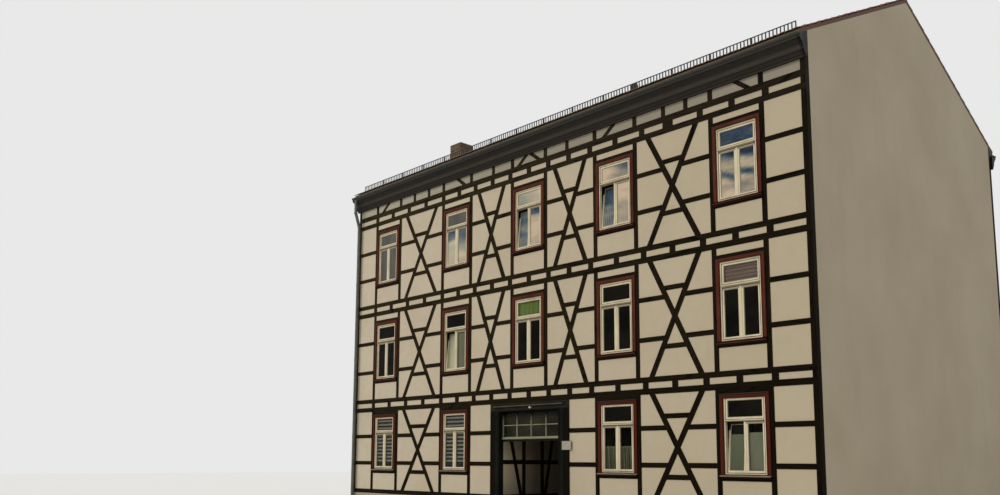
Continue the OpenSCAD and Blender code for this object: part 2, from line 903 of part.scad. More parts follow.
module frame_jambs() {
    color("#c8bea5")
        on_both_faces()
            each_window() {
                on_both_sides()
                    block(open_half, frame_half, front, front + frame_d,
                        window_z($s), frame_top($s));
                block(-mullion_w / 2, mullion_w / 2, front, front + frame_d,
                    open_foot($s, 1), open_top($s, 1));
            }
}

module frame_rails() {
    color("#c8bea5")
        on_both_faces()
            each_window()
                upright(front, frame_d) {
                    span(-open_half, open_half, window_z($s), open_foot($s, 1));
                    span(-open_half, open_half, open_top($s, 1), fan_foot($s));
                    span(-open_half, open_half, fan_top($s), frame_top($s));
                }
}

// A light less an even margin all round
module light_drawing(s, light, margin) {
    span(open_l(light) + margin, open_r(light) - margin,
        open_foot(s, light) + margin, open_top(s, light) - margin);
}

// Closed lights of the front, and all of the back, as $light
module each_closed_light(open_ones) {
    each_window()
        for ($light = LIGHTS)
            if (!(open_ones && $light == 1 && is_tilted($s, $k)))
                children();
}

module on_closed_lights() {
    each_closed_light(true)
        children();
    mirror([0, 1, 0])
        each_closed_light(false)
            children();
}

module window_sashes() {
    color("#c8bea5")
        on_closed_lights()
            upright(front + sash_in, sash_d)
                difference() {
                    light_drawing($s, $light, 0);
                    light_drawing($s, $light, sash_w);
                }
}

// Tilted sash: hinged at its foot, head leaning into the room
sash_half = (open_half - mullion_w / 2) / 2 - sash_gap;
sash_mid = -(open_half + mullion_w / 2) / 2;
function sash_high(s) = open_top(s, 1) - open_foot(s, 1) - 2 * sash_gap;

module each_tilted() {
    for (t = TILTED) {
        $s = t[0];
        translate([bay_mid(t[1]) + sash_mid, front + frame_d, open_foot(t[0], 1) + sash_gap])
            children();
    }
}

module sash_drawing(s, margin) {
    span(-sash_half + margin, sash_half - margin, margin, sash_high(s) - margin);
}

module tilted_sashes() {
    color("#c8bea5")
        each_tilted() {
            rotate([-sash_tilt, 0, 0])
                upright(-sash_d, sash_d)
                    difference() {
                        sash_drawing($s, 0);
                        sash_drawing($s, sash_w);
                    }
            on_both_sides()
                block(sash_half - hinge_in - hinge_w, sash_half - hinge_in,
                    0, hinge_t, -hinge_down - sash_gap, hinge_up);
        }
}

module window_panes() {
    color("#56626a", 0.5) {
        on_closed_lights()
            upright(front + sash_in + sash_d / 2 - glass_t / 2, glass_t)
                light_drawing($s, $light, sash_w);
        each_tilted()
            rotate([-sash_tilt, 0, 0])
                upright(-sash_d / 2 - glass_t / 2, glass_t)
                    sash_drawing($s, sash_w);
    }
}

// Blinds and curtains hang against the back of their sash, from its head or its foot:
// storey, bay, light, and the foot and head as shares of the light's glass
BLINDS = [[0, 1, 0, 0, 1], [0, 1, 1, 0, 1], [0, 1, 2, 0, 1], [0, 3, 0, 0, 1], [0, 3, 1, 0, 1],
    [0, 3, 2, 0, 1], [1, 3, 2, 0, 1], [1, 9, 0, 0, 1], [0, 9, 2, 0, 0.8]];
CURTAINS = [[0, 7, 1, 0, 0.55], [0, 7, 2, 0, 0.55], [1, 5, 0, 0, 1], [2, 3, 1, 0, 1],
    [2, 3, 2, 0, 1], [2, 7, 2, 0, 1]];

module hung_cloth(list) {
    edge = sash_w - blind_lap;
    for (c = list) {
        foot = open_foot(c[0], c[2]) + sash_w;
        high = open_top(c[0], c[2]) - sash_w - foot;
        translate([bay_mid(c[1]), 0, 0])
            block(open_l(c[2]) + edge, open_r(c[2]) - edge,
                front + sash_in + sash_d, front + sash_in + sash_d + blind_t,
                foot + c[3] * high - blind_lap, foot + c[4] * high + blind_lap);
    }
}

module blinds() {
    color("#8d8c80")
        hung_cloth(BLINDS);
}

module curtains() {
    color("#d8d3c4")
        hung_cloth(CURTAINS);
}

// Gateway
module gate_posts() {
    color("#23261f")
        on_both_faces()
            on_both_sides()
                block(passage_half, gate_w / 2, front - gate_proud,
                    front - gate_proud + gate_post_d, 0, gate_head_z);
}

module gate_head() {
    color("#23261f")
        on_both_faces() {
            block(-gate_w / 2, gate_w / 2, front - gate_proud, front - gate_proud + gate_post_d,
                gate_head_z, wall_top(0));
            block(head_mould_short - gate_w / 2, gate_w / 2 - head_mould_short,
                front - gate_proud - head_mould_out, front - gate_proud,
                gate_head_z + head_mould_up, gate_head_z + head_mould_up + head_mould_h);
        }
}

fan_row_z = (transom_z + gate_bar_h + gate_head_z) / 2 - fan_row_drop;
FAN_COLUMNS = 4;
fan_step = (passage_w - fan_bar_w) / FAN_COLUMNS;

module fan_panes_drawing() {
    for (c = [0:FAN_COLUMNS - 1], r = [0, 1])
        span(-passage_half + fan_bar_w + c * fan_step, -passage_half + (c + 1) * fan_step,
            r == 0 ? transom_z + gate_bar_h : fan_row_z + fan_row_h / 2,
            r == 0 ? fan_row_z - fan_row_h / 2 : gate_head_z - fan_bar_w);
}

module gate_fanlight() {
    color("#82827a")
        upright(front + fan_back - fan_d, fan_d)
            difference() {
                span(-passage_half, passage_half, transom_z, gate_head_z);
                fan_panes_drawing();
            }
}

module fanlight_panes() {
    color("#3c4440", 0.5)
        upright(front + fan_back - fan_d / 2 - glass_t / 2, glass_t)
            fan_panes_drawing();
}

module gate_light() {
    color("#d6d6cf")
        translate([lamp_x, front - gate_proud, gate_head_z + lamp_up + lamp_d / 2])
            rotate([90, 0, 0])
                cylinder(d = lamp_d, h = lamp_h);
}

module blank_plate() {
    color("#b9b5a4")
        block(gate_w / 2 + plate_past - plate_w, gate_w / 2 + plate_past, front - gate_proud - plate_t,
            front - gate_proud, plate_z - plate_tall / 2, plate_z + plate_tall / 2);
}

// Eaves: the moulding in steps of its projection and height, the block behind the gutter,
// and a notch that lets the downpipe up to the gutter
module cornice_moulding() {
    step = cornice_out / 28;
    lift = cornice_h / 38.5;
    along_x(left - cornice_past, house_w + 2 * cornice_past)
        translate([front, eaves_z])
            polygon([[0, 0], [-5 * step, 0], [-5 * step, 3 * lift], [-8 * step, 6 * lift],
                [-11 * step, 12 * lift], [-13 * step, 13 * lift], [-13 * step, 20 * lift],
                [-16 * step, 22 * lift], [-18 * step, 27 * lift], [-24 * step, 32 * lift],
                [-28 * step, 34 * lift], [-28 * step, 38.5 * lift], [0, 38.5 * lift]]);
}

module eaves_block() {
    back = gutter_out - gutter_r - gutter_clear;
    along_x(left, house_w)
        polygon([[front - back, cornice_top], [front, cornice_top], [front, eaves_plate_top],
            [inner_front, eaves_plate_top], [inner_front, roof_under(timber_d)],
            [front - back, roof_under(-back)]]);
}

module cornices() {
    notch = pipe_d / 2 + pipe_clear;
    color("#322e28")
        on_both_faces()
            difference() {
                union() {
                    cornice_moulding();
                    eaves_block();
                }
                block(left + pipe_in - notch, left + pipe_in + notch,
                    front - 2 * gutter_out, front - gutter_out + notch, eaves_z - 1, cornice_top + 1);
            }
}

module gutters() {
    color("#6e716a")
        on_both_faces()
            along_x(left - cornice_past, house_w + 2 * cornice_past)
                translate([front - gutter_out, gutter_rim])
                    difference() {
                        circle(r = gutter_r);
                        circle(r = gutter_r - gutter_t);
                        translate([-gutter_r, 0])
                            square(2 * gutter_r);
                        translate([-gutter_r, -2 * gutter_r + gutter_flat])
                            square([2 * gutter_r, gutter_r]);
                    }
}

// Downpipe: straight shaft, slanted neck and a short riser to the gutter, with wall brackets
module downpipe() {
    neck_run = gutter_out - pipe_out;
    neck_foot = upper_bracket_z + bracket_s + pipe_collar_d / 2;
    neck_head = eaves_z - pipe_collar_d / 2;
    neck_rise = neck_head - neck_foot;
    translate([left + pipe_in, front - pipe_out, 0]) {
        translate([0, 0, pipe_foot])
            cylinder(d = pipe_d, h = neck_foot - pipe_foot);
        translate([0, 0, neck_foot]) {
            sphere(d = pipe_collar_d);
            rotate([atan(neck_run / neck_rise), 0, 0])
                cylinder(d = pipe_d, h = sqrt(pow(neck_run, 2) + pow(neck_rise, 2)));
        }
        translate([0, -neck_run, neck_head]) {
            sphere(d = pipe_collar_d);
            cylinder(d = pipe_d, h = cornice_top - neck_head);
        }
        for (z = [sill_z(0), wall_top(0), wall_top(1), wall_top(2)])
            translate([-bracket_s / 2, 0, z + bracket_s])
                cube([bracket_s, pipe_out, bracket_s]);
    }
}
upper_bracket_z = wall_top(2) + bracket_s;

module downpipes() {
    color("#5f645a")
        on_both_faces()
            downpipe();
}

// Roof
module roof_slope_drawing() {
    polygon([[front - eave_out, roof_under(-eave_out)], [0, roof_under(house_d / 2)],
        [0, roof_over(house_d / 2)], [front - eave_out, roof_over(-eave_out)]]);
}

chimney_top = roof_over(chimney_y + chimney_deep) + chimney_rise;
vent_top = roof_over(vent_y + vent_w) + vent_rise;

module chimney_block(x, y, wide, deep, top, grow) {
    block(left + x - wide / 2 - grow, left + x + wide / 2 + grow,
        front + y - grow, front + y + deep + grow, knee_z + board_t, top);
}

module roof_front() {
    color("#8a4a34")
        difference() {
            along_x(left, house_w)
                roof_slope_drawing();
            chimney_block(chimney_x, chimney_y, chimney_w, chimney_deep, chimney_top, chimney_gap);
            chimney_block(vent_x, vent_y, vent_w, vent_w, vent_top, chimney_gap);
        }
}

module roof_back() {
    color("#8a4a34")
        mirror([0, 1, 0])
            along_x(left, house_w)
                roof_slope_drawing();
}

module ridge_tiles() {
    ridge_z = roof_over(house_d / 2);
    drop = ridge_half * roof_slope;
    color("#7a3f2c")
        along_x(left, house_w)
            polygon([[-ridge_half, ridge_z - drop], [0, ridge_z], [ridge_half, ridge_z - drop],
                [ridge_half, ridge_z - drop + ridge_t], [ridge_half / 2, ridge_z - drop / 3 + ridge_t],
                [0, ridge_z + 1.6 * ridge_t], [-ridge_half / 2, ridge_z - drop / 3 + ridge_t],
                [-ridge_half, ridge_z - drop + ridge_t]]);
}

// Snow guard: posts that stand on the roof, with a rail at foot and head
guard_w = house_w - 2 * guard_short;
function guard_posts() = ceil(guard_w / guard_step);

module snow_guards() {
    top = roof_over(guard_back) + guard_h;
    color("#3a4146")
        on_both_faces() {
            for (i = [0:guard_posts()])
                along_x(-guard_w / 2 + i * (guard_w - guard_bar) / guard_posts(), guard_bar)
                    polygon([[front + guard_back, roof_over(guard_back)],
                        [front + guard_back + guard_bar, roof_over(guard_back + guard_bar)],
                        [front + guard_back + guard_bar, top], [front + guard_back, top]]);
            upright(front + guard_back, guard_bar)
                for (z = [roof_over(guard_back) + guard_lift, top - guard_bar])
                    span(-guard_w / 2, guard_w / 2, z, z + guard_bar);
        }
}

// Brick chimney with its flue, and a small plain one
module chimneys() {
    color("#5a4b3c") {
        difference() {
            chimney_block(chimney_x, chimney_y, chimney_w, chimney_deep, chimney_top, 0);
            translate([left + chimney_x, front + chimney_y + chimney_deep / 2, chimney_top])
                cube([flue_w, flue_w, 2 * flue_deep], center = true);
        }
        chimney_block(vent_x, vent_y, vent_w, vent_w, vent_top, 0);
    }
}

passage_floor();
passage_plinth();
house_plinth();
party_walls();
ground_floor();
wall_posts();
wall_beams();
wall_rails();
wall_braces();
wall_infill();
passage_posts();
passage_beams();
passage_rails();
passage_braces();
passage_infill();
floor_joists();
upper_floors();
casing_sides();
casing_heads();
drip_caps();
window_boards();
frame_jambs();
frame_rails();
window_sashes();
tilted_sashes();
window_panes();
blinds();
curtains();
gate_posts();
gate_head();
gate_fanlight();
fanlight_panes();
gate_light();
blank_plate();
cornices();
gutters();
downpipes();
roof_front();
roof_back();
ridge_tiles();
snow_guards();
chimneys();
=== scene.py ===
# Looks of the half-timbered town house: camera, light, finishes and the fine pieces.
# Lengths are in metres: x right along the front, y into the house, z up from the street.
# Colours are (red, green, blue) as the screen shows them, 0 to 255.
import math

import bpy
import numpy as np
from mathutils import Matrix


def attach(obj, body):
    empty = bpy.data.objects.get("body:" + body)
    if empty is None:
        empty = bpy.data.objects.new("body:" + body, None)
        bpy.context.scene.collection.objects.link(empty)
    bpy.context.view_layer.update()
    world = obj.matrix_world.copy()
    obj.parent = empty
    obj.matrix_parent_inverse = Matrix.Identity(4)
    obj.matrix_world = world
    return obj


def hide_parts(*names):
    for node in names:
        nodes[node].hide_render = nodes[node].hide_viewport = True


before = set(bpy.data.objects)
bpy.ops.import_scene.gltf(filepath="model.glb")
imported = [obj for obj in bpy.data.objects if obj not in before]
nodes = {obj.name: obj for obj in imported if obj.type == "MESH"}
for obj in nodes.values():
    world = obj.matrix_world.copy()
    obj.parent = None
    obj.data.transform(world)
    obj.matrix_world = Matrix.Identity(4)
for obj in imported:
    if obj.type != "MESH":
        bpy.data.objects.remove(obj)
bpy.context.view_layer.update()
print("frame loaded:", len(nodes), "nodes")

# Levels and lines that several pieces share
house = {
    "front": -5.2,  # outer face of the timbers
    "halfWidth": 8.113,
    "roofFoot": (-5.415, 10.445),  # y and z where the tiles start
    "roofRise": 0.48773,
    "windowX": [-6.435, -3.009, 0.0, 3.009, 6.435],
    "casingFoot": [1.374, 4.199, 7.286],
    "casingTop": [3.060, 6.011, 9.017],
    "lowerLight": [(1.407, 2.476), (4.232, 5.354), (7.319, 8.404)],
    "upperLight": [(2.526, 2.972), (5.430, 5.887), (8.480, 8.893)],
    "openHalf": 0.458,  # half width of the opening in the fixed frame
    "mullion": 0.043,
    "sash": 0.042,
    "sashFace": -5.192,
    "paneFace": -5.175,
    "pivotY": -5.14,
    "tilt": 6.0,
    "streetTop": 2.0,  # the window boards below this level are those of the ground storey
}
# storey and window, without the one where the gateway is
windows = [(s, w) for s in range(3) for w in range(5) if (s, w) != (0, 2)]
tiltedWindows = [(2, 2), (2, 3), (1, 1), (0, 4)]  # always the left light


def addObject(name, data):
    made = bpy.data.objects.new(name, data)
    bpy.context.scene.collection.objects.link(made)
    return made


def placeCamera():
    view = {"lens": 32.22, "sensor": 36.0, "shiftY": 0.0935, "far": 400.0, "place": (16.740, -21.605, 1.628)}
    right, up, ahead = (0.6773, 0.7357, 0.0053), (0.0943, -0.0940, 0.9911), (-0.7296, 0.6708, 0.1331)
    data = bpy.data.cameras.new("streetView")
    data.lens, data.sensor_width, data.shift_y = view["lens"], view["sensor"], view["shiftY"]
    data.clip_end = view["far"]
    made = addObject("streetView", data)
    turn = Matrix([right, up, [-a for a in ahead]]).transposed().to_4x4()
    made.matrix_world = Matrix.Translation(view["place"]) @ turn
    bpy.context.scene.camera = made


# A screen colour as the linear one that sockets take
def tint(*colour):
    return (*[c / 255 / 12.92 if c <= 10 else ((c / 255 + 0.055) / 1.055) ** 2.4 for c in colour], 1.0)


class Wire:
    # one socket, with the sums that the finishes need
    def __init__(self, recipe, socket):
        self.recipe, self.socket = recipe, socket

    def sum(self, operation, other=0.0):
        return self.recipe.add("ShaderNodeMath", {"operation": operation}, {0: self, 1: other})

    def __add__(self, other):
        return self.sum("ADD", other)

    def __sub__(self, other):
        return self.sum("SUBTRACT", other)

    def __rsub__(self, other):
        return self.recipe.add("ShaderNodeMath", {"operation": "SUBTRACT"}, {0: other, 1: self})

    def __mul__(self, other):
        return self.sum("MULTIPLY", other)

    def __truediv__(self, other):
        return self.sum("DIVIDE", other)

    def __abs__(self):
        return self.sum("ABSOLUTE")

    __radd__, __rmul__ = __add__, __mul__


class Recipe:
    # the nodes of one material, or of the world: add() makes any of them, close() the output
    def __init__(self, name, world=None):
        self.owner = world or bpy.data.materials.new(name)
        self.owner.use_nodes = True
        self.tree = self.owner.node_tree
        self.tree.nodes.clear()
        if world is None:
            self.coords = self.add("ShaderNodeTexCoord", output="Object")
            self.x, self.y, self.z = (self.split(self.coords, axis) for axis in "XYZ")

    def add(self, kind, settings=None, values=None, output=0):
        made = self.tree.nodes.new(kind)
        for key, value in (settings or {}).items():
            setattr(made, key, value)
        for key, value in (values or {}).items():
            socket = made.inputs[key]
            if isinstance(value, Wire):
                self.tree.links.new(value.socket, socket)
            else:
                socket.default_value = tint(*value) if socket.type == "RGBA" else value
        return Wire(self, made.outputs[output])

    def split(self, vector, axis):
        return self.add("ShaderNodeSeparateXYZ", {}, {0: vector}, axis)

    def at(self, x, y, z):
        return self.add("ShaderNodeCombineXYZ", {}, {0: x, 1: y, 2: z})

    def moved(self, stretch, place=None):
        return self.add("ShaderNodeMapping", {}, {"Vector": place or self.coords, "Scale": stretch})

    def noise(self, scale, detail=3.0, rough=0.55, stretch=(1, 1, 1), place=None):
        values = {"Vector": self.moved(stretch, place), "Scale": scale, "Detail": detail, "Roughness": rough}
        return self.add("ShaderNodeTexNoise", {}, values)

    def cracks(self, scale, stretch):
        values = {"Vector": self.moved(stretch), "Scale": scale}
        return self.add("ShaderNodeTexVoronoi", {"feature": "DISTANCE_TO_EDGE"}, values)

    def random(self, *parts):
        return self.add("ShaderNodeTexWhiteNoise", {"noise_dimensions": "3D"}, {"Vector": self.at(*parts)})

    def attribute(self, name):
        return self.add("ShaderNodeAttribute", {"attribute_name": name}, output="Fac")

    def fit(self, value, low, high, start=0.0, end=1.0):
        return self.add("ShaderNodeMapRange", {"clamp": True}, {0: value, 1: low, 2: high, 3: start, 4: end})

    def mix(self, mask, first, second):
        return self.add("ShaderNodeMix", {"data_type": "RGBA"}, {0: mask, 6: first, 7: second}, 2)

    # one coat over another, each a (mask, colour)
    def coats(self, colour, *layers):
        for mask, coat in layers:
            colour = self.mix(mask, colour, coat)
        return colour

    def ramp(self, value, stops):
        made = self.add("ShaderNodeValToRGB", {}, {0: value})
        elements = made.socket.node.color_ramp.elements
        while len(elements) < len(stops):
            elements.new(0.5)
        for element, (place, colour) in zip(elements, stops):
            element.position, element.color = place, tint(*colour)
        return made

    # staggered courses: how far a point is from the joints at its side and below or above, each as a
    # share of the stone from 0 to 0.5, and a random number for each stone
    def courses(self, along, up, length, height):
        level = up / height
        row = level.sum("FLOOR")
        place = along / length + row * 0.5
        column = place.sum("FLOOR")
        side, bed = (place - column).sum("PINGPONG", 0.5), (level - row).sum("PINGPONG", 0.5)
        return side, bed, self.random(column, row, 0.0)

    # relief is (height, strength, distance) of the bump
    def finish(self, colour, roughness, relief=None, specular=0.5, **more):
        values = {"Base Color": colour, "Roughness": roughness, "Specular IOR Level": specular, **more}
        if relief is not None:
            height, strength, distance = relief
            bump = {"Height": height, "Strength": strength, "Distance": distance}
            values["Normal"] = self.add("ShaderNodeBump", {}, bump)
        return self.close("ShaderNodeOutputMaterial", self.add("ShaderNodeBsdfPrincipled", {}, values))

    def close(self, kind, shader):
        out = self.tree.nodes.new(kind)
        self.tree.links.new(shader.socket, out.inputs["Surface"])
        return self.owner


def oakFinish(name, along):
    # stained oak: long grain, drying cracks along it, a little weathering; high up and towards the
    # left end it turns a warmer, paler brown, partly bleached stain and partly painted light from the left
    look = {"dark": (15, 10, 5), "light": (28, 21, 12), "bleachedAndLit": (53, 44, 25), "grey": (58, 50, 38)}
    stretch = {"x": (0.06, 1, 1), "y": (1, 0.06, 1), "z": (1, 1, 0.06), "slant": (0.7, 1, 0.25)}[along]
    r = Recipe(name)
    grain = r.noise(26.0, 5.0, 0.62, stretch)
    broad = r.noise(1.3, 2.0)
    worn = r.fit(r.noise(9.0, 4.0, 0.7, stretch), 0.60, 0.78)
    crack = r.fit(r.cracks(5.5, [k * 1.4 for k in stretch]), 0.0, 0.045)
    bleachAndLight = r.fit(r.x, -8.0, 8.0, 0.8, 0.0) * r.fit(r.z, 0.5, 7.5, 0.45, 1.0)
    colour = r.coats(
        r.mix(r.fit(grain * 0.7 + broad * 0.4, 0.35, 0.75), look["dark"], look["light"]),
        # bleached stain and painted light: paler and warmer towards the left end and higher up
        (bleachAndLight * r.fit(broad, 0.3, 0.6, 0.8, 1.0), look["bleachedAndLit"]),
        (worn * 0.3, look["grey"]),
        (r.fit(r.z, 3.0, 4.0, 0.3, 0.0), (9, 5, 1)),  # darker at street level
        (r.fit(r.z, 9.1, 9.3, 0.0, 0.18), look["grey"]),
        (1 - crack, (7, 6, 5)),
    )
    return r.finish(colour, r.fit(grain, 0.3, 0.8, 0.62, 0.82), (grain * 0.4 + crack * 0.6, 0.5, 0.004), 0.02)


def infillFinish():
    # smooth lime render on the panels: soft mottling and stains; paler towards the left end, partly
    # weathering and partly painted light from the left; and greyed under the eaves by soot and painted shade
    look = {
        "base": (177, 163, 135), "pale": (196, 182, 158), "warm": (170, 155, 126), "stain": (148, 135, 108),
        "sootAndShade": (137, 129, 112), "paleSootAndShade": (164, 158, 136),
    }
    r = Recipe("limeRenderPanels")
    broad = r.noise(0.55, 3.0, 0.5)
    brushed = r.noise(5.0, 4.0, 0.6, (0.8, 1, 1))
    fine = r.noise(120.0, 3.0, 0.6)
    stain = r.fit(r.noise(2.4, 4.0, 0.6, (1.6, 1.6, 0.35)), 0.62, 0.86)
    # painted shade cast by the eaves, greyed as soot, paler towards the left end
    sootAndShade = r.fit(r.z, 9.1, 9.45, 0.0, 0.2) + r.fit(r.z + broad * 0.1, 9.5, 9.7, 0.0, 0.72)
    colour = r.coats(
        # paler to the left: weathering and painted light from the left
        r.mix(r.fit(r.x, -8.0, 8.0, 1.0, 0.0), look["base"], look["pale"]),
        (r.fit(broad * 0.6 + brushed * 0.4, 0.38, 0.64) * 0.45, look["warm"]),
        (stain * 0.3, look["stain"]),
        (sootAndShade, r.mix(r.fit(r.x, -8.0, 0.0, 1.0, 0.0), look["sootAndShade"], look["paleSootAndShade"])),
    )
    return r.finish(colour, 0.88, (brushed * 0.7 + fine * 0.3, 0.25, 0.004), 0.2)


def passageFinish():
    # the passage walls: the same render, with painted shade that deepens inside the house and towards
    # the top, and damp near the floor
    look = {"near": (240, 219, 182), "deep": (110, 101, 82), "damp": (106, 99, 82), "sootAndShade": (70, 60, 46)}
    r = Recipe("passageRender")
    broad = r.noise(1.1, 4.0, 0.6, (1, 1, 0.7))
    fine = r.noise(90.0, 3.0, 0.6)
    colour = r.coats(
        # painted light and shade: bright near the street, darker deeper into the passage and towards its top
        r.mix(r.fit(abs(r.y) + broad * 0.6, 4.1, 5.35), look["deep"], look["near"]),
        (r.fit(r.z, 1.45, 1.95) * 0.55, look["sootAndShade"]),
        (r.fit(broad, 0.45, 0.75) * 0.5, look["deep"]),
        (r.fit(r.z + broad, 0.9, 2.5, 0.85, 0.0), look["damp"]),
    )
    return r.finish(colour, 0.9, (broad * 0.6 + fine * 0.4, 0.35, 0.006), 0.1)


def renderFinish():
    # fine render on plinths and party walls, damp near the ground
    look = {"base": (164, 152, 129), "dark": (155, 143, 119), "damp": (116, 106, 88)}
    r = Recipe("roughRender")
    patch = r.noise(0.5, 3.0, 0.5)
    run = r.fit(r.noise(2.2, 3.0, 0.6, (1, 1, 0.2)), 0.56, 0.8)
    damp = r.fit(r.z + patch * 0.5, 0.15, 0.75, 1.0, 0.0)
    colour = r.coats(
        r.mix(r.fit(patch, 0.35, 0.7), look["base"], look["dark"]),
        (run * 0.12, look["damp"]),
        (damp * 0.6, look["damp"]),
    )
    return r.finish(colour, 0.93, (r.noise(55.0, 5.0, 0.7), 0.6, 0.012), 0.2)


def pavingFinish():
    # worn stone setts, laid in rows across the passage
    look = {"length": 0.2, "row": 0.12, "joint": 0.07}
    r = Recipe("wornSetts")
    side, bed, each = r.courses(r.x, r.y, look["length"], look["row"])
    edge = (side * look["length"] / look["row"]).sum("MINIMUM", bed)
    stone = r.fit(edge, 0.02, look["joint"] * 2)
    wear = r.noise(40.0, 4.0, 0.6)
    colour = r.coats(
        r.mix(each, (104, 98, 90), (140, 132, 120)), (wear * 0.3, (84, 78, 70)), (1 - stone, (58, 52, 44))
    )
    return r.finish(colour, r.fit(wear, 0.3, 0.7, 0.6, 0.85), (stone * 0.8 + wear * 0.2, 0.7, 0.012))


def boardsFinish():
    # floor boards running from front to back
    look = {"width": 0.16}
    r = Recipe("floorBoards")
    across = r.x / look["width"]
    board = across.sum("FLOOR")
    gap = r.fit((across - board).sum("PINGPONG", 0.5), 0.0, 0.03)
    grain = r.noise(18.0, 5.0, 0.6, (1, 0.05, 1), r.at(r.x + board * 3.7, r.y, r.z))
    tone = r.fit(grain + r.random(board, 0.0, 0.0) * 0.3, 0.35, 0.9)
    colour = r.coats(r.mix(tone, (92, 72, 52), (140, 112, 82)), (1 - gap, (26, 20, 15)))
    return r.finish(colour, 0.6, (gap * 0.7 + grain * 0.3, 0.5, 0.004))


def paintedWood(name, base, worn, under, along="z", specular=0.35, chips=0.78, rough=(0.45, 0.65), edge=None,
                shade=None):
    # brushed paint on wood: strokes along the member, dirt in patches, a few chips; an edge is a
    # (coordinate or tone, from, to, colour) over which another colour takes over, and a shade is
    # (levels, reach, colour), level bands of painted shade
    stretch = {"x": (0.08, 1, 1), "z": (1, 1, 0.08)}[along]
    r = Recipe(name)
    stroke = r.noise(60.0, 4.0, 0.6, stretch)
    dirt = r.noise(3.2, 4.0, 0.6, (1, 1, 0.6))
    chip = r.fit(r.noise(22.0, 5.0, 0.7, [min(1.0, k * 4) for k in stretch]), chips, chips + 0.03)
    colour = r.coats(
        r.mix(r.fit(dirt, 0.4, 0.72), base, worn), (r.fit(stroke, 0.3, 0.8) * 0.18, worn), (chip * 0.8, under)
    )
    if edge is not None:
        over = r.attribute("tone") if edge[0] == "tone" else abs(getattr(r, edge[0]))
        colour = r.mix(r.fit(over, edge[1], edge[2]), colour, edge[3])
    if shade is not None:
        levels, reach, dull = shade
        near = abs(r.z - levels[0])
        for level in levels[1:]:
            near = near.sum("MINIMUM", abs(r.z - level))
        colour = r.mix(r.fit(near, reach, reach * 0.8), colour, dull)
    gloss = r.fit(stroke * 0.5 + dirt * 0.5, 0.3, 0.7, *rough)
    return r.finish(colour, gloss, (stroke * 0.6 - chip * 0.4, 0.35, 0.002), specular)


def corniceFinish():
    # umber paint on the eaves moulding, with bands of painted light and shade up it: a painted
    # highlight on its middle fascia, painted shade in the hollow above it
    look = {"foot": 9.90, "head": 10.30}
    stops = [
        (0.0, (42, 39, 34)), (0.30, (40, 37, 32)), (0.40, (49, 45, 40)), (0.50, (74, 70, 62)),
        (0.60, (35, 31, 28)), (0.71, (47, 43, 39)), (0.80, (44, 40, 35)), (1.0, (45, 42, 35)),
    ]
    r = Recipe("umberPaint")
    stroke = r.noise(60.0, 4.0, 0.6, (0.08, 1, 1))
    dirt = r.noise(3.2, 4.0, 0.6, (1, 1, 0.6))
    colour = r.coats(
        r.ramp(r.fit(r.z, look["foot"], look["head"]), stops),
        (r.fit(dirt, 0.4, 0.72) * 0.35, (58, 52, 44)),
        (r.fit(stroke, 0.3, 0.8) * 0.2, (32, 29, 25)),
        # painted shade on the end faces
        (r.fit(abs(r.x), 8.07, 8.11) * 0.85, (16, 14, 11)),  # its end faces
    )
    return r.finish(colour, r.fit(dirt, 0.3, 0.7, 0.5, 0.7), (stroke, 0.35, 0.002), 0.08)


def metalFinish(name, base, dull, metallic, rough=(0.45, 0.7), rust=None):
    # weathered sheet metal: cloudy patina, run marks, faint spangle
    r = Recipe(name)
    cloud = r.noise(6.0, 5.0, 0.65, (1, 1, 0.5))
    run = r.fit(r.noise(14.0, 3.0, 0.6, (1, 1, 0.1)), 0.55, 0.8)
    cells = r.add("ShaderNodeTexVoronoi", {}, {"Vector": r.coords, "Scale": 42.0}, "Color")
    spangle = r.split(cells, "X")
    colour = r.coats(r.mix(r.fit(cloud, 0.35, 0.7), base, dull), (spangle * 0.12, dull))
    if rust is not None:
        colour = r.mix(run * 0.5, colour, rust)
    relief = (cloud * 0.7 + spangle * 0.3, 0.25, 0.003)
    return r.finish(colour, r.fit(cloud, 0.35, 0.7, *rough), relief, Metallic=metallic)


def glassFinish(name, low, high, clear, mirror, stretch=(1, 1, 1.6), shadow=None):
    # old window glass: a faint cloudy film, partly see-through; a shadow is the (from, to) height
    # over which the head above darkens it
    r = Recipe(name)
    film = r.noise(1.1, 3.0, 0.5, stretch)
    colour = r.mix(r.fit(film, 0.35, 0.65), low, high)
    if shadow is not None:
        colour = r.mix(r.fit(r.z, *shadow) * 0.75, colour, (4, 4, 2))
    return r.finish(colour, r.fit(film, 0.3, 0.7, 0.05, 0.12), (film, 0.05, 0.004), mirror, Alpha=1.0 - clear)


def skyGlassFinish():
    # upper panes with a painted reflection of the sky: the painted tone of each pane runs from deep
    # blue to sunlit cloud, its cover tells how far the painted reflection hides the room, net how much
    # of a net curtain shows through, and pleats how strongly its folds ripple
    stops = [
        (0.0, (28, 36, 46)), (0.12, (44, 60, 76)), (0.32, (78, 92, 100)), (0.55, (121, 120, 109)),
        (0.8, (172, 155, 132)), (1.0, (196, 174, 146)),
    ]
    r = Recipe("skyGlass")
    cloud = r.noise(1.7, 5.0, 0.6, (1, 1, 2.6))
    pleats = r.attribute("pleats") * (r.x * 107 + cloud * 5).sum("SINE")
    tone = r.fit(r.attribute("tone") + (cloud - 0.5) * 1.1 + pleats * 0.12, 0.0, 1.0)
    colour = r.mix(r.attribute("net"), r.ramp(tone, stops), (184, 181, 157))
    return r.finish(colour, 0.12, (cloud, 0.05, 0.004), 0.15, Alpha=r.attribute("cover"))


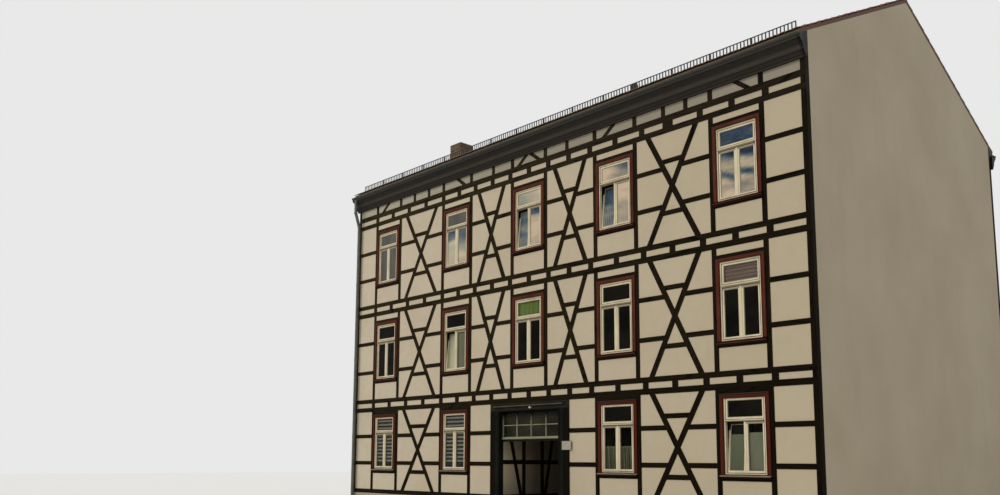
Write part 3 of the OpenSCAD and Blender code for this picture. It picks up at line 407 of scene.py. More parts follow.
def frostedFinish():
    # frosted film on the lower three quarters of a ground storey pane, dark glass over it
    r = Recipe("frostedGlass")
    cloud = r.noise(1.4, 3.0, 0.5)
    film = r.mix(r.fit(r.z + cloud * 0.4, 1.6, 2.5), (74, 81, 60), (92, 95, 74))
    # above the film the glass is near-black and almost opaque: painted shade of the dark room
    bare = r.fit(r.z, 2.21, 2.22)
    colour = r.mix(bare, film, (12, 8, 4))
    return r.finish(colour, r.fit(bare, 0.0, 1.0, 0.6, 0.1), specular=0.1, Alpha=0.96)


def tileFinish():
    # fired clay: each tile its own tone, with lichen and soot
    look = {"red": (128, 74, 52), "brown": (96, 60, 46), "pale": (150, 98, 72), "moss": (72, 70, 50)}
    r = Recipe("clayTiles")
    tone = r.attribute("tone")
    sootAndShade = r.noise(1.2, 4.0, 0.6)
    speck = r.noise(38.0, 5.0, 0.7)
    lichen = r.fit(r.noise(9.0, 5.0, 0.65) + sootAndShade * 0.35, 0.74, 0.9)
    colour = r.coats(
        r.mix(tone, look["brown"], look["red"]),
        (r.fit(tone, 0.8, 1.0) * 0.4, look["pale"]),
        (r.fit(sootAndShade, 0.45, 0.75) * 0.5, (62, 46, 38)),
        (lichen * 0.55, look["moss"]),
        (r.fit(speck, 0.6, 0.8) * 0.3, (60, 40, 32)),
        (r.fit(r.z, 10.47, 10.56, 0.75, 0.0), (104, 94, 66)),  # moss in the row at the eaves
    )
    return r.finish(colour, r.fit(speck, 0.3, 0.7, 0.72, 0.92), (speck, 0.5, 0.004), 0.25)


def slabFinish():
    # underlay and battens below the tiles, seen at the eaves and verges
    r = Recipe("roofUnderlay")
    grain = r.noise(20.0, 4.0, 0.6, (0.05, 1, 1))
    return r.finish(r.mix(grain, (64, 50, 40), (98, 72, 56)), 0.85, (grain, 0.4, 0.003), 0.2)


def brickFinish():
    # soot-darkened brick with lime joints; the pattern turns with the face through x + y. The brick
    # stack is paler towards its foot, the small one, right of the middle, black with smoke.
    look = {"course": 0.077, "length": 0.25, "joint": 0.012}
    r = Recipe("sootyBrick")
    side, bed, each = r.courses(r.x + r.y, r.z, look["length"], look["course"])
    near = (bed * look["course"]).sum("MINIMUM", side * look["length"])
    body = r.fit(near, look["joint"] * 0.35, look["joint"] * 0.75)
    rough = r.noise(46.0, 5.0, 0.7)
    colour = r.coats(
        r.mix(each, (80, 64, 44), (106, 86, 60)),
        (r.fit(rough, 0.45, 0.75) * 0.6, (60, 47, 35)),
        (1 - body, (132, 120, 98)),
        (r.fit(r.z + rough * 0.3, 11.15, 11.55, 0.35, 0.0) * r.fit(r.x, 0.0, 1.0, 1.0, 0.0), (140, 126, 100)),
        (r.fit(r.x, 0.0, 1.0, 0.0, 0.92), (52, 36, 26)),
    )
    return r.finish(colour, 0.9, (body * 0.7 + rough * 0.3, 0.8, 0.01), 0.2)


def clothFinish(name, base, shade, weave=1200.0, deep=0.0, stripes=None):
    # woven cloth: thread rows both ways, with optional level stripes across the blind; the
    # hollows of the folds, written in the cloth's own tone, lie deeper in shade
    r = Recipe(name)
    threads = (r.x * weave).sum("SINE") * 0.5 + (r.z * weave).sum("SINE") * 0.5
    colour = r.mix(r.fit(r.noise(2.0, 3.0, 0.5, (1, 1, 0.5)), 0.3, 0.7), base, shade)
    if stripes is not None:
        level = (r.z - stripes["start"]) / stripes["pitch"]
        band = r.fit(level.sum("PINGPONG", 0.5), 0.21, 0.28)
        foot = r.fit(r.z, stripes["foot"], stripes["foot"] + 0.004, 1.0, 0.0)
        colour = r.mix(band.sum("MAXIMUM", foot), colour, stripes["colour"])
    if deep:
        colour = r.mix(r.attribute("tone") * deep, colour, (22, 24, 18))
    colour = r.mix(r.fit(threads, -1.0, 1.0) * 0.1, colour, shade)
    return r.finish(colour, 0.92, (threads, 0.1, 0.0003), 0.2, **{"Sheen Weight": 0.1})


def lampFinish():
    # milky glass of the small light under the gate head
    r = Recipe("milkGlass")
    cloud = r.noise(30.0, 3.0, 0.5)
    return r.finish(r.mix(cloud, (168, 164, 150), (190, 186, 172)), 0.3, (cloud, 0.1, 0.001))


def plateFinish():
    # bare enamel plate with a slightly dulled rim
    plate = {"x": 1.388, "z": 2.025, "halfX": 0.16, "halfZ": 0.11}
    r = Recipe("bareEnamel")
    across, up = abs(r.x - plate["x"]) / plate["halfX"], abs(r.z - plate["z"]) / plate["halfZ"]
    rim = r.fit(across.sum("MAXIMUM", up), 0.9, 0.98)
    dirt = r.noise(14.0, 4.0, 0.6, (1, 1, 0.5))
    colour = r.mix(r.fit(dirt, 0.4, 0.75) * 0.5, (152, 145, 126), (128, 120, 102))
    colour = r.mix(rim * 0.7, colour, (84, 78, 66))
    return r.finish(colour, r.fit(dirt, 0.3, 0.7, 0.3, 0.5), (dirt, 0.1, 0.001))


oakUpright, oakAlongX = oakFinish("oakUpright", "z"), oakFinish("oakAlongFront", "x")
oakAlongY, oakSlant = oakFinish("oakIntoHouse", "y"), oakFinish("oakBraces", "slant")
limePanels, shadedPassagePanels, roughRender = infillFinish(), passageFinish(), renderFinish()
setts, floorBoards, underlay, clay = pavingFinish(), boardsFinish(), slabFinish(), tileFinish()
redUnder = (112, 84, 62)
redPaint = paintedWood(
    "redBrownPaint", (87, 40, 27), (64, 31, 21), redUnder, "z", 0.05, edge=("z", 4.1, 3.1, (73, 29, 18))
)
redPaintLying = paintedWood(
    "redBrownPaintLying", (83, 39, 27), (60, 30, 21), redUnder, "x", 0.05, edge=("z", 4.1, 3.1, (70, 28, 17))
)
# the window boards' paint, its tone carrying painted shade lines along the nose
sillPaint = paintedWood(
    "shadeLinedSillPaint", (92, 48, 37), (76, 40, 31), (96, 74, 56), "x", 0.04, edge=("tone", 0.3, 0.7, (22, 14, 9))
)


def creamWood(name, along="z", **more):
    return paintedWood(name, (211, 198, 165), (188, 174, 142), (140, 122, 94), along, 0.15, 0.84, **more)


creamPaint = creamWood("creamPaint")
# the transoms shade the heads of the lower lights
headLevels = [top - 0.014 for _, top in house["lowerLight"]]
shadedCream = creamWood("shadedCreamPaint", shade=(headLevels, 0.036, (150, 139, 115)))
transomCream = creamWood("transomCreamPaint", "x", edge=("tone", 0.3, 0.7, (142, 128, 102)))
# putty paint darker than the frames, with painted shade along the edge of the glass
beadCream = paintedWood("beadCreamPaint", (150, 137, 111), (128, 116, 92), (110, 96, 76), "z", 0.1)
# the head of a tilted sash leans into the dark room, and carries painted shade
tiltedCream = creamWood("tiltedCreamPaint", edge=("y", 5.089, 5.084, (34, 26, 18)))
gatePaint = paintedWood(
    "gateGreenPaint", (20, 22, 18), (30, 31, 25), (52, 45, 36), "z", 0.02, rough=(0.5, 0.7),
    edge=("x", 1.286, 1.288, (17, 13, 8)),
)
# painted shade along the foot of the gate head, over the opening
headPaint = paintedWood(
    "gateHeadPaint", (40, 38, 30), (30, 28, 22), (60, 54, 44), "x", 0.02, edge=("z", 2.99, 2.95, (12, 11, 7))
)
bandPaint = paintedWood("bandPaint", (100, 94, 80), (76, 71, 60), (96, 84, 70), "x", 0.05)
# painted shade darkens the fanlight's bars towards its head, under the gate head
fanPaint = paintedWood(
    "greyBarPaint", (132, 130, 110), (110, 107, 90), (78, 70, 56), "z", 0.05, 0.82,
    edge=("z", 2.68, 2.88, (8, 8, 4)),
)
fanSill = paintedWood("oliveSillPaint", (138, 137, 109), (116, 114, 90), (78, 70, 56), "x", 0.05)
cornicePaint = corniceFinish()
# thin strips of painted shadow for the gaps round the frames
shadowGapPaint = paintedWood("paintedShadowGap", (70, 58, 44), (54, 44, 34), (80, 70, 56), "z", 0.03)
zinc = metalFinish("weatheredZinc", (98, 103, 92), (82, 84, 74), 0.25)
brownZinc = metalFinish("brownedZinc", (39, 39, 31), (47, 45, 35), 0.1, (0.6, 0.8))
sillZinc = metalFinish("dullSillZinc", (120, 108, 90), (100, 90, 74), 0.1, (0.6, 0.8))
beadZinc = metalFinish("brightBead", (86, 83, 66), (66, 64, 52), 0.1, (0.5, 0.7))
guardSteel = metalFinish("galvanisedSteel", (30, 33, 33), (48, 50, 49), 0.2, (0.6, 0.8), (70, 54, 42))
lead = metalFinish("leadFlashing", (92, 94, 96), (70, 72, 74), 0.2, (0.55, 0.75))
brick, milkGlass, enamel = brickFinish(), lampFinish(), plateFinish()
# near-black, almost opaque glass: painted shade of the dark rooms behind
darkGlass = glassFinish("darkWindowGlass", (5, 5, 3), (20, 18, 12), 0.04, 0.04)
# painted reflections: these panes are opaque, coloured as the sky they mirror
greyGlass = glassFinish("greyMirrorGlass", (76, 75, 68), (94, 92, 85), 0.0, 0.08, (2, 1, 0.7))
paleGlass = glassFinish("paleMirrorGlass", (122, 124, 96), (172, 167, 136), 0.0, 0.08, (3.5, 1, 0.6))
fanGlass = glassFinish("fanlightGlass", (27, 26, 16), (56, 52, 35), 0.1, 0.05, shadow=(2.76, 2.90))
clearGlass = glassFinish("clearWindowGlass", (18, 17, 12), (32, 31, 24), 0.82, 0.05)
skyGlass, frosted = skyGlassFinish(), frostedFinish()
stripedBlind = clothFinish(
    "stripedBlind", (162, 160, 144), (146, 144, 128),
    stripes={"pitch": 0.111, "start": 1.632, "colour": (30, 35, 27), "foot": 1.586},
)
greenBlind = clothFinish("greenGreyBlind", (152, 152, 118), (132, 133, 100))
slatCloth = clothFinish("mauveSlats", (176, 152, 138), (160, 138, 124), deep=0.66)
whiteCurtain = clothFinish("whiteCurtain", (205, 196, 172), (184, 174, 150), 900.0, 0.42)
netCurtain = clothFinish("netCurtain", (138, 138, 106), (110, 110, 80), 900.0, 1.0)
greenCloth = clothFinish("greenCloth", (138, 160, 84), (116, 138, 68), deep=0.12)
filmCloth = clothFinish("frostedFilm", (146, 150, 122), (124, 130, 102))
print("finishes made")


def dressNodes():
    finishes = {
        oakUpright: "wall_posts passage_posts",
        oakAlongX: "wall_beams wall_rails",
        oakAlongY: "passage_beams passage_rails floor_joists",
        oakSlant: "wall_braces passage_braces",
        limePanels: "wall_infill",
        shadedPassagePanels: "passage_infill",
        roughRender: "passage_plinth house_plinth party_walls",
        setts: "passage_floor",
        floorBoards: "ground_floor upper_floors",
        redPaint: "casing_sides",
        redPaintLying: "casing_heads",
        sillPaint: "window_boards",
        creamPaint: "frame_jambs",
        shadedCream: "frame_rails window_sashes",
        tiltedCream: "tilted_sashes",
        darkGlass: "window_panes",
        fanGlass: "fanlight_panes",
        gatePaint: "gate_posts",
        headPaint: "gate_head",
        fanPaint: "gate_fanlight",
        milkGlass: "gate_light",
        enamel: "blank_plate",
        cornicePaint: "cornices",
        zinc: "downpipes",
        brownZinc: "gutters drip_caps",
        underlay: "roof_front roof_back",
        clay: "ridge_tiles",
        guardSteel: "snow_guards",
        brick: "chimneys",
        whiteCurtain: "blinds curtains",
    }
    for finish, names in finishes.items():
        for name in names.split():
            mesh = nodes[name].data
            if not mesh.materials:
                mesh.materials.append(finish)
            for i in range(len(mesh.materials)):
                mesh.materials[i] = finish


def makePiece(name, points, faces, finish, slot, stands=(), smooth=False, **values):
    mesh = bpy.data.meshes.new(name)
    mesh.from_pydata(points.tolist(), [], [[int(i) for i in face] for face in faces])
    for key, value in values.items():
        layer = mesh.attributes.new(key, "FLOAT", "POINT")
        layer.data.foreach_set("value", np.asarray(value, np.float32))
    if smooth:
        mesh.shade_smooth()
    mesh.materials.append(finish)
    mesh.update()
    made = addObject(name, mesh)
    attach(made, "root")
    if stands:
        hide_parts(*stands)
    return made


# Points from their coordinates, each a number or an array; the arrays spread over each other
def spots(x, y, z):
    return np.stack(np.broadcast_arrays(x, y, z), -1)


# Quads of a grid of rows x columns, counted row by row; either way may join up with its start
def gridQuads(rows, columns, joinRows=False, joinColumns=False):
    i, j = np.meshgrid(
        np.arange(rows if joinRows else rows - 1),
        np.arange(columns if joinColumns else columns - 1),
        indexing="ij",
    )
    i, j = i.ravel(), j.ravel()
    a, b = (i + 1) % rows, (j + 1) % columns
    return np.stack([i * columns + j, i * columns + b, a * columns + b, a * columns + j], 1)


# Quads of a thin shell: a grid, the same grid turned round below it, and the rim between them
def shellQuads(rows, columns):
    n, top = rows * columns, gridQuads(rows, columns)
    edge = np.concatenate([
        np.arange(columns), np.arange(2, rows) * columns - 1,
        np.arange(n - 1, n - columns - 1, -1), np.arange(rows - 2, 0, -1) * columns,
    ])
    rim = np.stack([edge, edge + n, np.roll(edge, -1) + n, np.roll(edge, -1)], 1)
    return np.vstack([top, top[:, ::-1] + n, rim])


# The same small mesh many times: points is (copies, n, 3), quads is for one copy
def repeatMesh(points, quads):
    copies, n = points.shape[:2]
    return points.reshape(-1, 3), (quads + (np.arange(copies) * n)[:, None, None]).reshape(-1, 4)


def joinMeshes(*parts):
    faces, at = [], 0
    for points, own in parts:
        faces += [[i + at for i in face] for face in own]
        at += len(points)
    return np.vstack([points for points, _ in parts]), faces


# A mesh and its mirror image on the back wall, its faces turned round so that they look outwards
def bothFronts(points, faces):
    return joinMeshes((points, faces), (points * [1, -1, 1], [face[::-1] for face in faces]))


# Closed prisms: points is (copies, 2 n, 3), the ring of n points at each end of every prism
def prisms(points):
    n = points.shape[1] // 2
    flat, quads = repeatMesh(points, gridQuads(2, n, False, True))
    faces = quads.tolist()
    for start in range(0, len(flat), 2 * n):
        faces += [list(range(start + n - 1, start - 1, -1)), list(range(start + n, start + 2 * n))]
    return flat, faces


# Level mouldings: a closed profile of (outwards, up) points, anticlockwise seen from +x, carried
# from x0 to x1 at (y, z). Outwards is towards the street, -y.
def mouldedRuns(runs, profile):
    x0, x1, y, z = np.asarray(runs, float).T[..., None]
    out, up = np.asarray(profile, float).T
    flat, faces = prisms(np.concatenate([spots(x, y - out, z + up) for x in (x0, x1)], 1))
    return flat, [face[::-1] for face in faces]


# Mitred frames: a closed profile of (inwards, outwards) points carried round rectangles
# (x0, x1, z0, z1) in the plane y. Inwards is towards the middle of the rectangle.
def mouldedFrames(rects, profile, y):
    x0, x1, z0, z1 = np.asarray(rects, float).T[..., None, None]
    inward, outward = np.asarray(profile, float).T
    sx, sz = np.array([-1, 1, 1, -1])[:, None], np.array([-1, -1, 1, 1])[:, None]
    dx, dz = (x1 - x0) / 2 - inward, (z1 - z0) / 2 - inward
    points = spots((x0 + x1) / 2 + sx * dx, y - outward, (z0 + z1) / 2 + sz * dz)
    return repeatMesh(points.reshape(len(rects), -1, 3), gridQuads(4, len(profile), True, True))


# Upright rods: a ring of points round each foot and the same ring at the head; squash flattens
# them along y
def uprights(feet, height, radius, sides=6, squash=1.0):
    angle = np.arange(sides) * 2 * math.pi / sides + math.pi / sides
    low = feet[:, None] + spots(-np.cos(angle), -squash * np.sin(angle), 0.0) * radius
    return prisms(np.concatenate([low, low + [0, 0, height]], 1))


# A profile of (radius, height) turned round an upright axis; the profile closes on itself
def turnedRings(centres, profile, sides=20):
    radius, up = np.asarray(profile, float).T
    angle = (np.arange(sides) * 2 * math.pi / sides)[:, None]
    ring = spots(np.cos(angle) * radius, np.sin(angle) * radius, up)
    points = np.asarray(centres, float)[:, None] + ring.reshape(1, -1, 3)
    return repeatMesh(points, gridQuads(sides, len(profile), True, True))


def layTiles():
    # Double-trough clay tiles. Height across a tile is a double wave plus the side roll; along it
    # the tile leans so that its lower edge rides on the next tile.
    tile = {
        "across": 53, "rows": 17, "ridgeBack": 0.10, "thick": 0.017, "wave": 0.011, "roll": 0.012,
        "rollAt": 0.94, "rollWidth": 0.06, "sideLap": 1.02, "lap": 0.045, "ride": 0.022, "rest": 0.004,
        "over": 0.03, "lean": 0.0022, "shift": 0.0025,
    }
    half, (eaveY, eaveZ) = house["halfWidth"], house["roofFoot"]
    width = 2 * half / tile["across"]
    step = (-eaveY - tile["ridgeBack"] + tile["over"]) / tile["rows"]
    u, v = np.linspace(0, 1, 11), np.array([0.0, 0.25, 1.0])
    roll = np.exp(-(((u - tile["rollAt"]) / tile["rollWidth"]) ** 2)) * tile["roll"]
    wave = tile["wave"] * (0.5 - 0.5 * np.cos(4 * np.pi * u)) + roll
    top = wave + (tile["ride"] * (1 - v) + tile["rest"])[:, None] + tile["thick"]
    along = (v * (step + tile["lap"]))[:, None]
    shape = spots(u * width * tile["sideLap"], along, np.stack([top, top - tile["thick"]]))
    col, row = (k.ravel() for k in np.meshgrid(np.arange(tile["across"]), np.arange(tile["rows"])))
    count, chance = len(col), np.random.default_rng(7)
    points = np.repeat(shape.reshape(1, -1, 3), count, 0)
    lean = chance.normal(0, tile["lean"], (count, 2))
    points[..., 2] += lean[:, :1] + (points[..., 0] / width - 0.5) * lean[:, 1:]
    points[..., 0] = np.clip(points[..., 0] + (-half + col * width)[:, None], -half, half)
    shift = chance.normal(0, tile["shift"], count)
    points[..., 1] += (eaveY - tile["over"] + row * step + shift)[:, None]
    points[..., 2] += eaveZ + (points[..., 1] - eaveY) * house["roofRise"]
    tone = np.repeat(np.clip(chance.normal(0.5, 0.24, count), 0, 1), points.shape[1])
    flat, faces = repeatMesh(points, shellQuads(3, 11))
    for side, name in ((1, "frontTiles"), (-1, "backTiles")):
        makePiece(name, flat * [1, side, 1], faces[:, ::side], clay, "tiles", tone=tone)


def layRidge():
    # Half-round ridge tiles, each a tapering arch whose wide end covers the next one's narrow end
    ridge = {"count": 40, "half": 0.150, "foot": 13.010, "top": 13.150, "lap": 0.05, "thick": 0.018}
    half, count, angle = house["halfWidth"], ridge["count"], np.linspace(0, math.pi, 11)
    pitch = 2 * half / count
    v, swell = np.array([[0.0, 1.0], [0.12, 1.0], [0.16, 0.93], [1.0, 0.88]]).T[..., None]
    inset = np.array([0.0, ridge["thick"]])[:, None, None]
    shape = spots(
        v * (pitch + ridge["lap"]),
        -np.cos(angle) * (ridge["half"] * swell - inset),
        ridge["foot"] + np.sin(angle) * ((ridge["top"] - ridge["foot"]) * swell - inset),
    )
    points = np.repeat(shape.reshape(1, -1, 3), count, 0)
    points[..., 0] = np.clip(points[..., 0] + (-half + np.arange(count) * pitch)[:, None], -half, half)
    tone = np.repeat(np.clip(np.random.default_rng(3).normal(0.5, 0.2, count), 0, 1), points.shape[1])
    flat, faces = repeatMesh(points, shellQuads(4, 11)[:, ::-1])
    makePiece("ridgeCaps", flat, faces, clay, "tiles", ["ridge_tiles"], tone=tone)


def fitSnowGuards():
    # Upright bars between the rails, and a stouter one on each post
    guard = {"y": -5.151, "low": 10.587, "high": 10.775, "half": 7.914}
    bar, post = {"count": 181, "radius": 0.020, "squash": 0.3}, {"count": 16, "radius": 0.026}

    def feet(count):
        return spots(np.linspace(-guard["half"], guard["half"], count), guard["y"], guard["low"])

    height = guard["high"] - guard["low"]
    bars = uprights(feet(bar["count"]), height, bar["radius"], 4, bar["squash"])
    posts = uprights(feet(post["count"])[1:-1], height, post["radius"])
    makePiece("guardBars", *bothFronts(*joinMeshes(bars, posts)), guardSteel, "guard_steel")


def fitGutters():
    # A rolled bead along the outer rim, and strap hooks: a thin band bent round the trough
    y, z, radius, half = -5.45, 10.350, 0.070, 8.163
    hook = {"count": 21, "width": 0.026, "inner": 0.001, "outer": 0.006, "inset": 0.2}
    rolled = {"radius": 0.009, "inset": 0.004}
    turn = np.arange(8) * math.pi / 4
    bead = np.stack([np.cos(turn), np.sin(turn)], 1) * rolled["radius"]
    rim = mouldedRuns([[-half, half, y - radius + rolled["inset"], z]], bead)
    angle = np.linspace(math.pi, 2 * math.pi, 11)[:, None]
    reach = radius + np.array([hook["inner"], hook["inner"], hook["outer"], hook["outer"]])
    aside = np.array([-0.5, 0.5, 0.5, -0.5]) * hook["width"]
    band = spots(aside, y + np.cos(angle) * reach, z + np.sin(angle) * reach)
    end = half - hook["inset"]
    hooks = band.reshape(1, -1, 3) + spots(np.linspace(-end, end, hook["count"]), 0, 0)[:, None]
    quads = np.vstack([gridQuads(11, 4, False, True), [[3, 2, 1, 0], [40, 41, 42, 43]]])
    makePiece("gutterBead", *bothFronts(*rim), beadZinc, "zinc")
    makePiece("gutterHooks", *bothFronts(*repeatMesh(hooks, quads)), brownZinc, "zinc")


def fitPipeSleeves():
    # Socket rings where lengths of the downpipe join, and clamp rings at its brackets
    pipe = {"x": -8.003, "y": -5.295, "sleeves": [2.4, 4.9, 7.4], "clamps": [1.3, 3.6, 6.1, 8.6]}
    sleeve = [(0.0495, -0.045), (0.0495, 0.04), (0.053, 0.045), (0.056, 0.04), (0.054, 0.03), (0.054, -0.04)]
    clamp = [(0.0495, -0.015), (0.0495, 0.015), (0.0535, 0.013), (0.0535, -0.013)]
    parts = []
    for side in (1, -1):
        for levels, profile in ((pipe["sleeves"], sleeve), (pipe["clamps"], clamp)):
            parts.append(turnedRings([(pipe["x"], side * pipe["y"], z) for z in levels], profile))
    makePiece("pipeSleeves", *joinMeshes(*parts), zinc, "zinc")


def coverChimneys():
    # Mortar sloped up to the flue on the brick stack, and lead dressed round the foot of both stacks
    brickStack, smallStack = ((-5.186, -4.676), (-3.70, -3.17)), ((1.957, 2.097), (-3.20, -3.06))
    head = {"top": 11.870, "flue": 0.13, "lip": 0.030, "deep": 0.075}

    # corners of a stack's outline grown by so much, or of a square round its middle
    def corners(stack, grow=0.0, square=None):
        (x0, x1), (y0, y1) = stack
        hx, hy = (square, square) if square else ((x1 - x0) / 2 + grow, (y1 - y0) / 2 + grow)
        return (x0 + x1) / 2 + np.array([-1, 1, 1, -1]) * hx, (y0 + y1) / 2 + np.array([-1, -1, 1, 1]) * hy

    rings = [(-0.004, -0.030), (-0.004, 0.004), (-0.03, 0.018), (-0.08, head["lip"])]  # (grow, height)
    mortar = [spots(*corners(brickStack, grow), head["top"] + rise) for grow, rise in rings]
    for rise in (head["lip"], -head["deep"]):
        mortar.append(spots(*corners(brickStack, square=head["flue"]), head["top"] + rise))
    quads = gridQuads(6, 4, True, True)
    makePiece("chimneyMortar", np.vstack(mortar), quads, roughRender, "render")
    rings = [(0.002, 0.02), (0.002, 0.16), (0.008, 0.16), (0.01, 0.055), (0.12, 0.052), (0.12, 0.02)]
    eaveY, eaveZ = house["roofFoot"]
    parts = []
    for stack in (brickStack, smallStack):
        skirt = []
        for grow, rise in rings:
            x, y = corners(stack, grow)
            skirt.append(spots(x, y, eaveZ + (y - eaveY) * house["roofRise"] + rise))
        parts.append((np.vstack(skirt), quads[:, ::-1]))
    makePiece("leadSkirts", *joinMeshes(*parts), lead, "zinc")


def lightRect(storey, window, light, inset=0.0):
    # light 0 is the upper one, 1 the left and 2 the right; gives x0, x1, z0, z1 of its opening
    x, h, m = house["windowX"][window], house["openHalf"], house["mullion"] / 2
    x0, x1 = {0: (-h, h), 1: (-h, -m), 2: (m, h)}[light]
    z0, z1 = house["upperLight"][storey] if light == 0 else house["lowerLight"][storey]
    return [x + x0 + inset, x + x1 - inset, z0 + inset, z1 - inset]


def isTilted(storey, window, light):
    return light == 1 and (storey, window) in tiltedWindows


# Glass of a tilted sash, before it is tilted
def tiltedRect(storey, window):
    sash = {"leftOfMiddle": 0.23975, "half": 0.17325, "frame": 0.045}
    mid, (z0, z1) = house["windowX"][window] - sash["leftOfMiddle"], house["lowerLight"][storey]
    return [mid - sash["half"], mid + sash["half"], z0 + sash["frame"], z1 - sash["frame"]]


# Turns points about a tilted sash's hinge line, 3 mm above its opening's foot, top inwards
def tiltPoints(points, storey):
    angle, hinge = math.radians(house["tilt"]), house["lowerLight"][storey][0] + 0.003
    x, y, z = points.T
    y, z, cosine, sine = y - house["pivotY"], z - hinge, math.cos(angle), math.sin(angle)
    return spots(x, house["pivotY"] + y * cosine + z * sine, hinge - y * sine + z * cosine)


def glazeWindows():
    # Panes as thin panels whose faces bow by soft waves
    pane = {
        "y": -5.172, "tiltedY": -5.163, "half": 0.003, "bow": 0.0012, "waves": (3.1, 4.3), "lap": 0.002,
        "columns": 5, "rows": 21,
    }
    kinds = {
        "clearPanes": [
            (0, 0, 0), (0, 0, 1), (0, 0, 2), (0, 1, 0), (0, 1, 1), (0, 1, 2), (0, 3, 1), (0, 3, 2), (0, 4, 2),
            (1, 1, 2), (1, 2, 0), (1, 4, 0),
        ],
        "frostedPanes": [(0, 4, 1)],
        "greyPanes": [(2, 0, 0), (2, 0, 1), (2, 0, 2), (2, 1, 0)],
        "palePanes": [(1, 1, 1)],
    }
    kindOf = {key: kind for kind, keys in kinds.items() for key in keys}
    # The painted reflection on each pane of the top floor, in stops of (height up the pane, value): its
    # tone, 0 deep blue and 1 sunlit cloud, and cover, pleats and net as its glass takes them. Across
    # changes the tone from the left to the right, and sink is how far its stops sink on the way.
    plain = {
        "tone": [(0, 0.5), (1, 0.25)], "cover": [(0, 1), (1, 1)], "pleats": [(0, 0), (1, 0)],
        "net": [(0, 0), (1, 0)], "across": 0.0, "sink": 0.0,
    }
    mirrors = {
        (2, 1, 1): {
            "tone": [
                (0, 0.86), (0.14, 1), (0.36, 1), (0.5, 0.8),
                (0.64, 0.84), (0.72, 0.42), (0.8, 0.26), (1, 0.24),
            ],
            "cover": [(0, 0.85), (0.5, 0.9), (0.62, 1), (1, 1)],
            "net": [(0, 0.3), (0.3, 0.5), (0.66, 0.75), (0.74, 0.1), (1, 0)],
            "sink": -0.1,
        },
        (2, 1, 2): {
            "tone": [
                (0, 0.62), (0.1, 0.85), (0.16, 1), (0.26, 1), (0.34, 0.62),
                (0.5, 0.42), (0.64, 0.3), (0.78, 0.18), (1, 0.3),
            ],
            "net": [(0, 0.1), (0.25, 0.1), (0.36, 0.5), (0.5, 0.4), (0.66, 0.15), (1, 0)],
            "sink": 0.1,
        },
        (2, 2, 0): {"tone": [(0, 0.62), (1, 0.72)], "net": [(0, 0.35), (1, 0.35)], "across": 0.22},
        (2, 2, 1): {"tone": [(0, 0.36), (1, 0.36)]},
        (2, 2, 2): {"tone": [(0, 0.88), (0.72, 1), (0.8, 0.78), (0.85, 0.22), (1, 0.14)]},
        (2, 3, 0): {"tone": [(0, 0.72), (1, 0.66)], "across": -0.30},
        (2, 3, 1): {
            "tone": [(0, 0.4), (0.5, 0.54), (0.57, 0.18), (0.85, 0.14), (1, 0)],
            "pleats": [(0, 1), (0.5, 1), (0.54, 0), (1, 0)],
        },
        (2, 3, 2): {
            "tone": [(0, 0.8), (0.5, 0.92), (0.56, 0.94), (1, 1)],
            "cover": [(0, 0.75), (0.5, 0.75), (0.56, 1), (1, 1)],
            "pleats": [(0, 0.8), (0.5, 0.4), (0.55, 0), (1, 0)],
            "net": [(0, 0.3), (0.5, 0.3), (0.56, 0), (1, 0)],
        },
        (2, 4, 0): {"tone": [(0, 0.16), (1, 0.06)]},
        (2, 4, 1): {
            "tone": [
                (0, 0.9), (0.36, 0.8), (0.44, 0.26), (0.5, 0.3),
                (0.56, 0.68), (0.84, 0.66), (0.93, 0.3), (1, 0),
            ],
            "sink": 0.16,
        },
        (2, 4, 2): {
            "tone": [
                (0, 0.74), (0.38, 0.8), (0.45, 0.2), (0.5, 0.18),
                (0.57, 0.8), (0.78, 0.82), (0.85, 0.15), (1, 0),
            ],
            "sink": 0.08,
        },
    }
    chance = np.random.default_rng(11)
    finishes = {
        "clearPanes": clearGlass, "darkPanes": darkGlass, "skyPanes": skyGlass, "frostedPanes": frosted,
        "greyPanes": greyGlass, "palePanes": paleGlass,
    }
    groups = {name: [] for name in finishes}
    mirrored = {"tone": [], "cover": [], "pleats": [], "net": []}
    u, v = np.meshgrid(np.linspace(0, 1, pane["columns"]), np.linspace(0, 1, pane["rows"]))
    quads = shellQuads(pane["rows"], pane["columns"])
    for face, key in [(f, (s, w, k)) for f in (1, -1) for s, w in windows for k in range(3)]:
        tilted, inset = face > 0 and isTilted(*key), house["sash"] - pane["lap"]
        x0, x1, z0, z1 = tiltedRect(*key[:2]) if tilted else lightRect(*key, inset)
        a, b = chance.uniform(0, 6.28, 2)
        waves = np.sin(pane["waves"][0] * u + a) + np.sin(pane["waves"][1] * v + b)
        bow = pane["bow"] * waves * np.sin(np.pi * u) * np.sin(np.pi * v)
        y = pane["tiltedY"] if tilted else pane["y"]
        front = spots(x0 + u * (x1 - x0), y - pane["half"] + bow, z0 + v * (z1 - z0)).reshape(-1, 3)
        points = np.vstack([front, front + [0, 2 * pane["half"], 0]])
        if tilted:
            points = tiltPoints(points, key[0])
        kind = face > 0 and kindOf.get(key) or ("skyPanes" if key[0] == 2 else "darkPanes")
        if kind == "skyPanes":
            look = plain | mirrors.get(key, {})
            if face < 0:
                look |= {name: plain[name] for name in ("tone", "pleats", "net")}
            level = np.clip(v + look["sink"] * (u - 0.5), 0, 1)
            made = {name: np.interp(v, *zip(*look[name])) for name in ("cover", "pleats", "net")}
            made["tone"] = np.interp(level, *zip(*look["tone"])) + look["across"] * (u - 0.5) * 2
            for name, value in made.items():
                mirrored[name].append(np.tile(value.ravel(), 2))
        groups[kind].append((points * [1, face, 1], quads[:, ::face]))
    for name, parts in groups.items():
        values = {key: np.concatenate(value) for key, value in mirrored.items()} if name == "skyPanes" else {}
        makePiece(name, *joinMeshes(*parts), finishes[name], "glass", ["window_panes"], **values)


